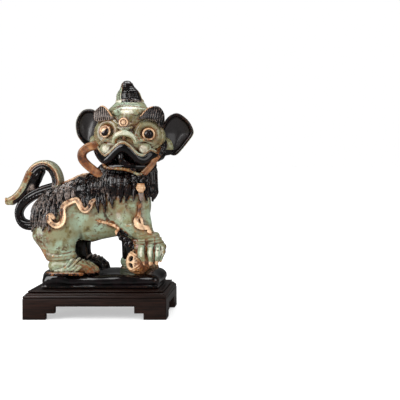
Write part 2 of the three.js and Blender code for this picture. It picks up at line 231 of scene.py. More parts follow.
def limb(*blobs):
    """Ellipsoids (centre, radii), each drawn out to the next."""
    lumps = []
    for (a, ra), (b, rb) in zip(blobs, blobs[1:]):
        a, b, ra, rb = (np.array(v, float) * np.ones(3) for v in (a, b, ra, rb))

        def distance(x, y, z, a=a, ra=ra, rb=rb, along=b - a):
            t = share_along(a, along, x, y, z)
            p = [q - a[k] - t * along[k] for k, q in enumerate((x, y, z))]
            return to_egg(p, [ra[k] + t * (rb[k] - ra[k]) for k in range(3)])

        lumps.append((np.minimum(a - ra, b - rb), np.maximum(a + ra, b + rb), distance))
    return lumps


def coil(points, radii):
    """A round coil of clay through some points. radii is one radius or one for each point."""
    points = np.array(points, float)
    radii = np.array(radii, float) * np.ones(len(points))
    lumps = []
    for a, b, ra, rb in zip(points, points[1:], radii, radii[1:]):

        def distance(x, y, z, a=a, ra=ra, rb=rb, along=b - a):
            t = share_along(a, along, x, y, z)
            gap = sum((q - a[k] - t * along[k]) ** 2 for k, q in enumerate((x, y, z)))
            return np.sqrt(gap) - ra - t * (rb - ra)

        lumps.append((np.minimum(a - ra, b - rb), np.maximum(a + ra, b + rb), distance))
    return lumps


def ribbon(points, out, wide, thick, soft=0.8, dish=0.0):
    """A flat strip through some points. out gives the direction that its face looks to at each point. dish
    hollows the face between two raised edges."""
    points, out = np.array(points, float), np.array(out, float) * np.ones((len(points), 3))
    wide = np.array(wide, float) * np.ones(len(points))
    lumps = []
    for i in range(len(points) - 1):
        a, along = points[i], points[i + 1] - points[i]
        length = max(np.linalg.norm(along), TINY)
        face = out[i] + out[i + 1]
        face = unit(face - (face @ along) * along / length**2)
        side = np.cross(along / length, face)

        def distance(x, y, z, a=a, along=along, length=length, face=face, side=side, w=wide[i : i + 2]):
            p = (x - a[0], y - a[1], z - a[2])
            run = sum(q * s for q, s in zip(p, along)) / length
            t = np.clip(run / length, 0, 1)
            half = (w[0] + t * (w[1] - w[0])) / 2
            across = np.abs(sum(q * s for q, s in zip(p, side)))
            up = np.abs(sum(q * s for q, s in zip(p, face)))
            rise = thick / 2 - dish * np.clip(1 - (across / np.maximum(0.72 * half, 0.1)) ** 2, 0, 1)
            gaps = np.maximum(across - half + soft, 0), np.maximum(up - rise + soft, 0), run - t * length
            inside = np.minimum(np.maximum(across - half, up - rise) + soft, 0)
            return np.sqrt(sum(g * g for g in gaps)) + inside - soft

        reach = wide[i : i + 2].max() / 2 + thick
        lumps.append((np.minimum(a, a + along) - reach, np.maximum(a, a + along) + reach, distance))
    return lumps


def block(low, high, soft):
    """A box with rounded edges."""
    low, high = np.array(low, float), np.array(high, float)
    middle, half = (low + high) / 2, (high - low) / 2

    def distance(x, y, z):
        q = [np.abs(p - m) - h + soft for p, m, h in zip((x, y, z), middle, half)]
        outside = np.sqrt(sum(np.maximum(g, 0) ** 2 for g in q))
        return outside + np.minimum(np.maximum(np.maximum(q[0], q[1]), q[2]), 0) - soft

    return low, high, distance


def smooth_path(points, count, closed=False):
    """Points along a smooth curve through some points."""
    points = np.array(points, float)
    n = len(points)
    spans = n if closed else n - 1
    result = []
    for s in np.linspace(0, spans, count, endpoint=not closed):
        i = min(int(s), spans - 1)
        t = s - i
        around = [(i + k) % n if closed else min(max(i + k, 0), n - 1) for k in (-1, 0, 1, 2)]
        p, q, r, u = points[around]
        line = 2 * q + (r - p) * t
        result.append(0.5 * (line + (2 * p - 5 * q + 4 * r - u) * t**2 + (3 * q - p - 3 * r + u) * t**3))
    return np.array(result)


def circle(count, turn=FULL):
    """Angles from 0 to a full turn, both ends included."""
    return np.linspace(0, turn, count)


def ringlet(x, y, z, size, rise, angles):
    """A spiral that narrows as it turns, seen from the front."""
    turns = ((a, size - 0.5 * a) for a in angles)
    return [(x + r * math.cos(a), y + rise * a, z + r * math.sin(a)) for a, r in turns]


def disc_points(middle, facing, radius, count=16):
    """Points round a circle that faces one way."""
    facing = unit(np.array(facing, float))
    u = unit(np.cross((0, 0, 1), facing))
    v = np.cross(facing, u)
    angles = np.arange(count + 1) / count * FULL
    return [middle + radius * (math.cos(a) * u + math.sin(a) * v) for a in angles]


# ---- skin: the mesh of a clay --------------------------------------------------------------------------
EDGES = [(a, b) for a in range(8) for b in range(a + 1, 8) if np.abs(CORNERS[a] - CORNERS[b]).sum() == 1]


def skin(clay):
    """The surface of a clay, as points (mm) and four-cornered faces."""
    d = clay.d
    inside = d < 0
    shape = np.array(d.shape) - 1
    count = np.zeros(shape, np.int8)
    for c in CORNERS:
        count += inside[tuple(slice(a, a + n) for a, n in zip(c, shape))]
    cells = np.argwhere((count > 0) & (count < 8))
    value = np.stack([d[tuple((cells + c).T)] for c in CORNERS], 1)
    total, hits = np.zeros((len(cells), 3)), np.zeros(len(cells))
    for a, b in EDGES:
        crossing = (value[:, a] < 0) != (value[:, b] < 0)
        step = np.where(crossing, value[:, a] - value[:, b], 1)
        point = CORNERS[a] + (value[:, a] / step)[:, None] * (CORNERS[b] - CORNERS[a])
        total += np.where(crossing[:, None], point, 0)
        hits += crossing
    points = (cells + total / hits[:, None] + clay.first) * clay.step
    index = np.full(shape, -1, np.int64)
    index[tuple(cells.T)] = np.arange(len(cells))
    faces = []
    for axis in range(3):
        u, v = np.eye(3, dtype=int)[[(axis + 1) % 3, (axis + 2) % 3]]
        low = np.take(inside, range(d.shape[axis] - 1), axis)
        high = np.take(inside, range(1, d.shape[axis]), axis)
        at = np.argwhere(low != high)
        at = at[(at >= u + v).all(1) & (at < shape).all(1)]
        leaving = low[tuple(at.T)]
        face = np.stack([index[tuple((at - shift).T)] for shift in (0 * u, u, u + v, v)], 1)
        faces.append(np.where(leaving[:, None], face, face[:, ::-1]))
    return points, np.concatenate(faces)


def relaxed(points, faces, rounds):
    """Irons out the grid's steps without shrinking the shape."""
    pairs = np.concatenate([faces[:, [a, (a + 1) % 4]] for a in range(4)])
    ends = np.concatenate([pairs, pairs[:, ::-1]])
    n = len(points)
    weight = np.bincount(ends[:, 0], minlength=n)
    for pull in [0.5, -0.52] * rounds:
        middle = np.stack([np.bincount(ends[:, 0], points[ends[:, 1], k], n) for k in range(3)], 1)
        points = points + pull * (middle / weight[:, None] - points)
    return points


def make_piece(name, points, faces, attributes, material, nodes, body):
    """Makes a finished piece with its material, hides the CAD nodes it stands for and hangs it on the body it
    rides on.
    """
    mesh = bpy.data.meshes.new(name)
    mesh.from_pydata((np.asarray(points) * MM + HOME).tolist(), [], faces)
    mesh.polygons.foreach_set("use_smooth", [True] * len(mesh.polygons))
    for key, values in attributes.items():
        layer = mesh.attributes.new(key, "FLOAT", "POINT")
        layer.data.foreach_set("value", np.asarray(values, np.float32))
    mesh.update()
    obj = bpy.data.objects.new(name, mesh)
    bpy.context.scene.collection.objects.link(obj)
    obj.data.materials.append(material)
    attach(obj, body)
    if nodes:
        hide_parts(*nodes)
    return obj


STAINED_BY = []  # clays of luted pieces: the glaze gathers brown along their edges


def even(amount):
    """The same paint all over."""
    return lambda p: np.full(len(p), amount)


BARE = even(0.0)


def fired(name, clay, material, nodes, black=BARE, amber=BARE, pale=BARE, rust=BARE, rounds=2):
    """Skins a clay. black, amber, pale (below 0: olive) and rust say how much is brushed on at some points;
    pale also lays on painted highlights and painted sheen in places.
    """
    points, faces = skin(clay)
    points = relaxed(points, faces, rounds)
    attributes = {
        "ridge": clay.softened(RIDGE_REACH).at(points) - clay.at(points),
        "black": black(points),
        "amber": amber(points),
        "pale": pale(points),
        "stain": np.maximum(stain_at(points, clay), rust(points)),
    }
    make_piece(name, points, faces.tolist(), attributes, material, nodes, "figure")


def stain_at(points, own):
    stain = np.zeros(len(points))
    for other in STAINED_BY:
        if other is not own:
            low, high = other.first * other.step, (other.first + np.array(other.d.shape)) * other.step
            near = ((points > low) & (points < high)).all(1)
            gap = np.abs(other.at(points[near]))
            stain[near] = np.maximum(stain[near], np.clip(1.15 - gap / STAIN_REACH, 0, 1))
    return stain


# ---- glazes and wood -----------------------------------------------------------------------------------
def srgb(red, green, blue):
    return tuple((v / 255) ** 2.2 for v in (red, green, blue)) + (1.0,)


CELADON, MINT, PALE = srgb(120, 120, 93), srgb(136, 153, 132), srgb(192, 190, 170)
OLIVE, UMBER, RUST = srgb(100, 86, 50), srgb(40, 25, 16), srgb(112, 62, 28)
TAN, PEACH, COFFEE = srgb(156, 106, 62), srgb(224, 188, 150), srgb(72, 44, 28)
# The last two greys are painted sheen on the black glaze: highlights over its ridges, and a veil over its dull
# parts.
NIGHT, AUBERGINE, ASH_SHEEN, SHEEN_GREY = srgb(6, 4, 5), srgb(20, 13, 15), srgb(124, 110, 102), srgb(46, 42, 42)
WOOD_DARK, WOOD_RED, WOOD_WORN_AND_HIGHLIT = srgb(4, 3, 2), srgb(40, 22, 15), srgb(46, 32, 27)
PAPER, PAPER_MIRRORED, WALLS, WHITE = (srgb(v, v, v) for v in (205, 92, 253, 255))


class Shader:
    """Builds a material's nodes: each call returns the socket to pass on."""

    def __init__(self, name):
        self.material = bpy.data.materials.new(name)
        self.material.use_nodes = True
        self.tree = self.material.node_tree
        self.surface = self.tree.nodes["Principled BSDF"]

    def give(self, socket, value):
        """Links a socket to another, or sets it to a constant."""
        if isinstance(value, bpy.types.NodeSocket):
            self.tree.links.new(value, socket)
        else:
            socket.default_value = value

    def put(self, kind, inputs, output=0, **settings):
        made = self.tree.nodes.new(kind)
        for key, value in settings.items():
            setattr(made, key, value)
        for key, value in inputs.items():
            self.give(made.inputs[key], value)
        return made.outputs[output]

    def math(self, operation, *values):
        return self.put("ShaderNodeMath", dict(enumerate(values)), operation=operation)

    def times(self, a, b):
        return self.math("MULTIPLY", a, b)

    def plus(self, a, b):
        return self.math("ADD", a, b)

    def less(self, a):
        """What is left of 1."""
        return self.math("SUBTRACT", 1.0, a)

    def blend(self, a, share_a, b, share_b):
        return self.plus(self.times(a, share_a), self.times(b, share_b))

    def mix(self, factor, a, b, most=1.0):
        """Lays b over a by a factor, most of the way at the most."""
        factor = factor if most == 1.0 else self.times(factor, most)
        return self.put("ShaderNodeMix", {0: factor, 6: a, 7: b}, output=2, data_type="RGBA")

    def fade(self, value, low, high):
        """0 where the value is at low or past it, and 1 where it is at high."""
        inputs = {"Value": value, "From Min": low, "From Max": high}
        return self.put("ShaderNodeMapRange", inputs, interpolation_type="SMOOTHSTEP")

    def noise(self, scale, detail=3.0, stretch=(1, 1, 1)):
        place = self.put("ShaderNodeTexCoord", {}, output=3)
        place = self.put("ShaderNodeMapping", {"Vector": place, "Scale": stretch})
        return self.put("ShaderNodeTexNoise", {"Vector": place, "Scale": scale, "Detail": detail})

    def attribute(self, name):
        return self.put("ShaderNodeAttribute", {}, output=2, attribute_name=name)

    def finish(self, **inputs):
        for key, value in inputs.items():
            self.give(self.surface.inputs[key.replace("_", " ")], value)
        return self.material


def glaze(name, black=0.0, amber=0.0):
    """Stoneware glaze. black and amber say what the whole piece was dipped in: jade where both are 0."""
    s = Shader(name)
    large, medium, small, speck = (s.noise(waves_per_metre) for waves_per_metre in (38.0, 95.0, 260.0, 800.0))
    ridge, stain, tone = s.attribute("ridge"), s.attribute("stain"), s.attribute("pale")
    raised, sunk = s.fade(ridge, 0.12, 0.42), s.fade(ridge, -0.05, -0.30)
    drift = s.blend(s.plus(medium, -0.5), 0.55, s.plus(small, -0.5), 0.35)
    amber_mask = s.fade(s.plus(s.plus(s.attribute("amber"), amber), drift), 0.40, 0.62)
    bare = s.times(s.attribute("amber"), -black)  # on a black piece, amber shows through
    black_mask = s.fade(s.plus(s.plus(s.plus(s.attribute("black"), black), bare), drift), 0.42, 0.58)
    toned = s.plus(tone, drift)

    jade = s.mix(s.fade(large, 0.38, 0.62), CELADON, MINT)
    jade = s.mix(s.fade(medium, 0.50, 0.64), jade, OLIVE, 0.7)
    jade = s.mix(s.fade(toned, -0.10, -0.70), jade, s.mix(s.fade(small, 0.4, 0.6), OLIVE, CELADON), 0.85)
    jade = s.mix(s.fade(toned, 0.35, 0.8), jade, PALE)
    jade = s.mix(s.fade(s.blend(small, 0.5, large, 0.5), 0.57, 0.63), jade, COFFEE, 0.75)
    jade = s.mix(s.fade(s.blend(medium, 0.7, small, 0.3), 0.60, 0.67), jade, UMBER, 0.5)
    jade = s.mix(s.fade(speck, 0.64, 0.70), jade, UMBER, 0.6)
    # on ridges the jade thins to tan, and the mint there is a painted highlight
    worn_and_highlit = s.times(raised, s.fade(medium, 0.44, 0.62))
    jade = s.mix(worn_and_highlit, jade, s.mix(s.fade(small, 0.4, 0.6), TAN, MINT), 0.6)
    jade = s.mix(sunk, jade, s.mix(s.fade(small, 0.42, 0.58), UMBER, COFFEE), 0.9)
    brown = s.mix(s.fade(medium, 0.4, 0.6), RUST, COFFEE)
    jade = s.mix(s.times(stain, s.fade(small, 0.30, 0.55)), jade, brown)

    tan = s.mix(s.fade(medium, 0.38, 0.62), TAN, RUST)
    tan = s.mix(s.fade(large, 0.5, 0.64), tan, OLIVE, 0.4)
    # on ridges the amber thins, and the peach there is a painted highlight
    thin_and_highlit = s.times(s.times(raised, s.less(stain)), s.fade(small, 0.35, 0.6))
    tan = s.mix(thin_and_highlit, tan, PEACH, 0.6)
    tan = s.mix(s.fade(toned, 0.25, 0.85), tan, PEACH)
    brown = s.mix(s.fade(small, 0.4, 0.6), RUST, COFFEE)
    tan = s.mix(s.times(stain, s.fade(medium, 0.28, 0.56)), tan, brown)
    tan = s.mix(sunk, tan, COFFEE)

    night = s.mix(s.fade(medium, 0.4, 0.65), NIGHT, AUBERGINE)
    night = s.mix(s.times(raised, s.fade(small, 0.48, 0.66)), night, COFFEE, 0.3)
    thin_and_sheen = s.fade(s.plus(tone, s.times(small, 0.8)), 0.55, 1.0)  # where the glaze has thinned over the ridges, and where a grey painted sheen is laid over them
    night = s.mix(s.times(s.fade(ridge, 0.02, 0.30), thin_and_sheen), night, ASH_SHEEN)
    matt_and_sheen = s.fade(tone, 0.6, 1.0)  # where it is thick and dull, with a grey painted sheen over it
    night = s.mix(matt_and_sheen, night, SHEEN_GREY, 0.8)

    border = s.times(s.times(black_mask, s.less(black_mask)), 4.0)
    colour = s.mix(black_mask, s.mix(amber_mask, jade, tan), night)
    colour = s.mix(border, colour, RUST, 0.8)

    dull = s.times(s.plus(0.13, s.times(amber_mask, 0.22)), s.less(s.times(black_mask, 0.35)))
    dull = s.plus(s.plus(dull, s.times(small, 0.08)), s.times(s.times(matt_and_sheen, black_mask), 0.25))
    height = s.times(s.plus(small, s.times(speck, 0.6)), s.less(s.times(black_mask, 0.9)))
    bump = s.put("ShaderNodeBump", {"Strength": 0.12, "Distance": 0.0006, "Height": height})
    return s.finish(Base_Color=colour, Roughness=dull, Normal=bump, Coat_Weight=0.25, Coat_Roughness=0.05)


def wood(name, along):
    """Dark rosewood, polished, with its grain along one axis."""
    s = Shader(name)
    stretch = [1.0, 1.0, 1.0]
    stretch[along] = 0.055
    grain, streaks = s.noise(520.0, 4.0, stretch), s.noise(95.0, 2.0, stretch)
    colour = s.mix(s.fade(grain, 0.36, 0.64), WOOD_DARK, WOOD_RED)
    colour = s.mix(s.fade(streaks, 0.42, 0.66), colour, WOOD_DARK, 0.55)
    # lighter at the bevels: wear, and a painted highlight along the edges
    colour = s.mix(s.fade(s.attribute("worn_and_highlit"), 0.3, 1.0), colour, WOOD_WORN_AND_HIGHLIT, 0.3)
    bump = s.put("ShaderNodeBump", {"Strength": 0.25, "Distance": 0.0003, "Height": grain})
    dull = s.plus(0.24, s.times(grain, 0.18))
    return s.finish(Base_Color=colour, Roughness=dull, Normal=bump, Specular_IOR_Level=0.3)


JADE = glaze("jade_glaze")
BLACK = glaze("black_glaze", black=1.0)
AMBER = glaze("amber_glaze", amber=1.0)
WOOD_X, WOOD_Y = wood("dark_wood.long", 0), wood("dark_wood.short", 1)


# ---- the body ------------------------------------------------------------------------------------------
TORSO = [((-58, 0, 146), (33, 30, 37)), ((-18, 0, 149), (31, 31, 45)), ((36, -1, 158), (35, 32, 43))]
FORELEGS = [
    [((46, -19, 166), (25, 15, 24)), ((49, -22, 136), (24, 15, 19)), ((70, -26, 112), (17, 14, 9))],
    [((42, 20, 160), (25, 13, 24)), ((37, 22, 118), (14, 12.5, 16)), ((36, 23, 78), (12, 11, 10))],
]
HINDLEGS = [
    [((-62, -19, 138), (34, 18.5, 33)), ((-63, -22, 116), (31, 16, 17)), ((-55, -25, 86), (23, 13, 12))],
    [((-56, 19, 136), (33, 18, 33)), ((-44, 22, 108), (20, 13, 18)), ((-36, 23, 82), (14, 12, 12))],
]
CHEST_MANE = [((37, -3, 205), (40, 31, 18)), ((36, -4, 190), (41, 35, 24)), ((41, -3, 178), (36, 33, 17))]
BACK_MANE = [((10, 0, 186), (25, 31, 20)), ((-25, 0, 178), (19, 31, 21)), ((-58, 0, 165), (23, 30, 19))]
RUMP_MANE = [((-72, 0, 163), (14, 29, 18)), ((-80, 0, 150), (14, 32, 15)), ((-83, 0, 140), (12, 31, 10))]
NECK = [((40, -1, 190), (32, 28, 18)), ((42, 6, 246), (33, 20, 18))]


def roll(surface, path, radius, proud):
    """A soft roll of clay pressed on along the surface."""
    return coil(surface.settle(smooth_path(path, 9), proud - radius), radius)


BODY = Clay((-98, -44, 56), (92, 44, 262), COARSE)
BODY.add(limb(*TORSO), 4)
for leg in FORELEGS + HINDLEGS:
    BODY.add(limb(*leg), 9)
BODY.add(limb(*NECK), 8)

FLANK = Clay((-102, -46, 56), (92, 46, 270), COARSE)  # what the fur and the scrolls lie on
for part in [TORSO] + HINDLEGS + FORELEGS:
    FLANK.add(limb(*part), 8)
for mane in (CHEST_MANE, BACK_MANE, RUMP_MANE, NECK):
    FLANK.add(limb(*mane), 3)

for y, dx in ((-1, 0), (1, -4)):  # the fold behind each shoulder
    fold = [(12 + dx, y * 38, 164), (9 + dx, y * 38, 152), (12 + dx, y * 38, 138), (20 + dx, y * 37, 126)]
    BODY.carve(coil(BODY.settle(smooth_path(fold, 8), 1.8), 2.6), 3.5)
for lift in (0, 5, 10):  # the folds above the wrist
    path = [(52 - lift, -37, 124 + 0.6 * lift), (66, -43, 121 + lift), (82 - 0.3 * lift, -36, 117 + lift)]
    BODY.add(roll(BODY, path + [(86, -26, 115 + lift)], 2.2, 1.1), 2)
for lift in (0, 4.5):  # the folds above the hind paw
    path = [(-72, -34, 84 + lift), (-58, -39, 82 + lift), (-42, -37, 84 + lift), (-32, -30, 90 + lift)]
    BODY.add(roll(BODY, path, 1.8, 0.9), 2)


def body_black(p):
    x, y, z = p.T
    far_legs = fade(y, 2, 8) * fade(z, 116, 98)
    # painted shade: the underside between the legs is glazed black where shade falls under the body
    belly_shade = fade(z, 112, 104) * fade(np.abs(y), 18, 8) * fade(x, -40, -25) * fade(x, 40, 25)
    return np.maximum.reduce([far_legs, 0.8 * belly_shade, fade(z, 186, 200)])


def body_pale(p):
    x, y, z = p.T
    # the pale hump on the flank is a painted highlight
    shoulder, flank = hump(x, 30, 22) * hump(z, 150, 20), hump(x, -40, 9) * hump(z, 140, 16)
    return -0.10 - 0.42 * shoulder - 0.3 * fade(x, 40, 60) * fade(z, 136, 124) + 0.35 * flank


def body_rust(p):
    """Brown glaze: lines over the wrist and the hind paw, the back edges of the legs, patches and drips."""
    x, y, z = p.T
    wrist = 0.75 * bands(z - 0.25 * (x - 60), 5.5) ** 3 * fade(x, 52, 66) * fade(z, 132, 122)
    ankle = 0.8 * bands(z - 0.10 * (x + 60), 5.0) ** 3 * fade(z, 98, 90) * fade(x, -20, -30)
    rear = 0.7 * fade(x + 0.35 * (z - 90), -62, -72) * fade(z, 122, 112)
    patch = 0.8 * hump(x, -72, 8) * hump(z, 110, 9)
    streak = hump(x, -9, 8) * hump(z, 114, 1.6)
    drip = 0.6 * hump(z - 5 * np.sin(x / 5), 150, 6) * fade(x, -44, -34) * fade(x, 70, 60)
    return np.maximum.reduce([wrist, ankle, rear, patch, streak, drip])


def body_amber(p):
    x, y, z = p.T
    heel, cuff = fade(x, -68, -76) * fade(z, 106, 94), fade(z, 114, 110) * fade(x, 44, 52)
    return 0.6 * np.maximum(heel, cuff)


# ---- fur -----------------------------------------------------------------------------------------------
def lock(clay, surface, path, width, lift, flick):
    """Adds a tapered lock of fur: three strands that lie side by side on a surface and meet at the tip."""
    path = surface.settle(smooth_path(path, 11), lift)
    normal = surface.slope(path)
    across = unit(np.cross(np.gradient(path, axis=0), normal))
    t = np.linspace(0, 1, len(path))[:, None]
    spread = 0.32 * width * (1 - t**2) * (0.6 + 1.4 * t * (1 - t))
    radius = np.maximum(0.17 * width * (1 - 0.55 * t[:, 0] ** 2), 0.75)
    tuft = Clay.round(path, width + 3, clay.step)
    for s in (-1, 0, 1):
        rise = 1.4 * (1 - s * s) + flick * t * t - 2.2 * (1 - t) ** 3  # its root lies under the row above
        tuft.add(coil(path + across * s * spread + normal * rise, radius), 0.6)
    clay.merge(tuft, 0.3)


def lifted(surface, start, heading, length, drop, sway, count=5):
    """A lock's path: it leaves a start along a heading, turns to fall by drop and sways to one side."""
    path = [start]
    for i in range(count - 1):
        out = surface.slope(path[-1][None])[0]
        step = np.array(heading) * (1 - drop * i / count) + (sway * math.sin(2.2 * i), 0, -drop)
        step = step - (step @ out) * out
        path.append(path[-1] + step / max(np.linalg.norm(step), TINY) * length / (count - 1))
        path[-1] = surface.settle(path[-1][None], 1.0, 2)[0]
    return path


def fringe(clay, surface, starts, heading, length, width, drop, sway, rounds=4):
    """One row of locks, from near some points."""
    for start in surface.settle(np.array(starts, float), 1.0, rounds):
        wild = RNG.uniform(-1, 1, 5)
        path = lifted(surface, start, heading, length * (1 + 0.2 * wild[0]), drop, sway * wild[1])
        lock(clay, surface, path, width * (1 + 0.16 * wild[2]), 1.4 + 0.9 * wild[3], 1.3 + 0.8 * wild[4])


def thin_glaze_and_sheen(p):
    """Where the black glaze has run thinly on the fur, and where a grey painted sheen lies on the locks as
    highlights.
    """
    x, y, z = p.T
    places = 0.24 * fade(x, 20, -50) + 0.16 * hump(x, 8, 14) * fade(z, 164, 178) + 0.03
    return places + 0.08 * np.sin(x / 9 + z / 14) + 0.06 * np.sin(y / 6 - z / 7)


def chest_mane():
    clay = Clay((-16, -52, 146), (92, 48, 232)).add(limb(*CHEST_MANE), 3)
    for top, squash, count, length in ((190, 1.0, 27, 25), (206, 0.97, 25, 39), (223, 0.9, 23, 46)):
        angles = (np.arange(count) + 0.5 * (top == 206)) / count * FULL
        starts = [(38 + 40 * squash * math.cos(a), -3 + 34 * squash * math.sin(a), top) for a in angles]
        fringe(clay, FLANK, starts, (-0.25, 0, -1), length, 9.4, 1.0, 0.7)
    return clay


def back_mane():
    clay = Clay((-98, -48, 132), (36, 48, 216)).add(limb(*BACK_MANE), 3)
    for spread, length in ((0.94, 31), (0.62, 40), (0.24, 42)):
        for x in np.arange(-84, 26, 9.2):
            ridge = np.interp(x, [-85, -58, -25, 10, 30], [176, 186, 200, 207, 206])
            slant = np.interp(x, [-80, -40, 0], [-0.25, 0.15, 0.45])
            for side in (-1, 1):
                start = (x - 4 * spread, side * 32 * spread, ridge - 30 * spread**1.6)
                fringe(clay, FLANK, [start], (slant, side * 0.8, -0.6), length, 9.0, 0.9, 0.6)
    crest = [(-70, 0, 186), (-55, 0, 187), (-40, 0, 195), (-22, 0, 202), (-4, 0, 207), (12, 0, 210)]
    clay.add(coil(FLANK.settle(smooth_path(crest, 14), 1.5), 2.6), 1.0)
    hem = [(-62, 100), (-52, 128), (-46, 156), (-40, 166), (-32, 169), (-26, 163), (-22, 155), (-16, 151),
           (-10, 156), (-4, 168), (-2, 150), (4, 100)]  # the fur ends under the flank's scroll
    return clay.keep_above(lambda x: np.interp(x, *zip(*hem)))


def back_amber(p):
    return 0.8 * fade(np.abs(p[:, 1]), 4.2, 2.6) * fade(p[:, 0], 14, 4)


def rump_mane():
    clay = Clay((-112, -46, 108), (-40, 46, 192)).add(limb(*RUMP_MANE), 3)
    for top, length, spread in ((152, 28, 1.0), (164, 32, 0.96), (176, 30, 0.82)):
        for angle in np.radians(np.arange(80, 284, 15.0) + 7 * (top == 164)):
            start = (-68 + 28 * spread * math.cos(angle), 36 * spread * math.sin(angle), top)
            fringe(clay, FLANK, [start], (-0.15, 0, -1), length, 9.2, 1.0, 0.6)
    return clay


def neck_mane():
    clay = Clay((-8, -44, 176), (96, 46, 292)).add(limb(*NECK), 3)
    surface = Clay((-10, -46, 170), (98, 46, 300), COARSE)
    surface.add(limb(*NECK), 3).add([egg(*SKULL), egg(*CHEEKS)], 6).add(limb(*CHEST_MANE), 3)
    for top, length, count in ((226, 38, 16), (254, 40, 16), (284, 40, 12)):
        angles = np.radians(np.linspace(-20, 200, count))
        starts = [(42 + 42 * math.cos(a), 2 + 36 * math.sin(a), top) for a in angles]
        fringe(clay, surface, starts, (0, 0, -1), length, 9.8, 1.0, 0.6, 8)
    return clay


def jowl_leaf():
    """The dark leaf of beard that hangs from the left corner of the mouth."""
    path = smooth_path([(93, -20, 252), (94.5, -25, 244), (92, -29, 236), (87, -31, 227)], 8)
    leaf_of_clay = ribbon(path, (0.35, -1, 0), [5, 7, 8, 8, 7.5, 6, 4.5, 2.5], 5, 1.6, 0.8)
    return Clay((76, -44, 216), (106, -10, 262)).add(leaf_of_clay, 1)


def elbow_tuft(side):
    """A bunch of small curls behind the elbow, with a roll that leads to it along the flank."""
    clay = Clay((-10, min(side * 10, side * 56), 86), (66, max(side * 10, side * 56), 146))
    edge = [(0, 40, 134), (10, 40, 130), (20, 39, 124), (29, 37, 118), (37, 34, 111)]
    edge = smooth_path([(x, side * y, z) for x, y, z in edge], 12)
    clay.add(coil(BODY.settle(edge, 0.3, 8), np.linspace(1.6, 2.8, 12)), 1)
    backing = [(27, side * 31, 121), (35, side * 32, 113), (44, side * 32, 106), (52, side * 31, 99)]
    clay.add(coil(backing, [3.0, 4.6, 5.6, 3.6]), 1.5)
    curls = ((29, 118, 3.0), (34, 112, 3.6), (41, 110, 3.6), (41, 102, 3.4), (48, 104, 3.8), (53, 99, 3.2))
    for x, z, size in curls:
        curl = ringlet(x, side * 36, z, size, side * 0.4, circle(10, 5.0))
        clay.add(coil(curl, np.linspace(1.8, 1.3, 10)), 0.6)
    return clay


def elbow_amber(p):
    return fade(p[:, 0] - 0.4 * (p[:, 2] - 115), 30, 24)


# ---- the head ------------------------------------------------------------------------------------------
FACE_X = 42  # the middle of the face
LEANS = {"right": -1, "left": 1}  # which way each side lies from there
SKULL, CHEEKS = ((42, -4, 272), (39, 33, 32)), ((42, -13, 250), (43, 34, 17))
EYE_AT = {
    "right": node_middle("right_eyeball") + (2.8, 0, -2.0),
    "left": node_middle("left_eyeball") + (-1.6, 0, -2.2),
}
EYE_FACING = {"right": np.array([-0.38, -0.92, 0.08]), "left": np.array([0.26, -0.96, 0.06])}
UPPER_LIP = [(-4, -14, 246), (0.5, -28, 241), (7, -37, 234), (14, -44, 230), (21, -48, 234), (29, -52, 242),
             (37, -55, 247.5), (44, -55.5, 247.5), (52, -54, 241.5), (60, -50, 232), (67.5, -46, 230),
             (73, -42, 234.5), (78, -37, 238), (85, -27, 234), (90, -14, 240)]
JAW_RIM = [(1, -14, 238), (3, -26, 232), (8, -38, 222), (15, -46, 213.5), (28, -52, 212), (42, -54, 211),
           (52, -53, 208), (62, -48, 203.5), (71, -38, 208), (79, -26, 219), (84, -14, 232)]


def lip_height(x):
    return np.interp(x, [p[0] for p in UPPER_LIP], [p[2] for p in UPPER_LIP])


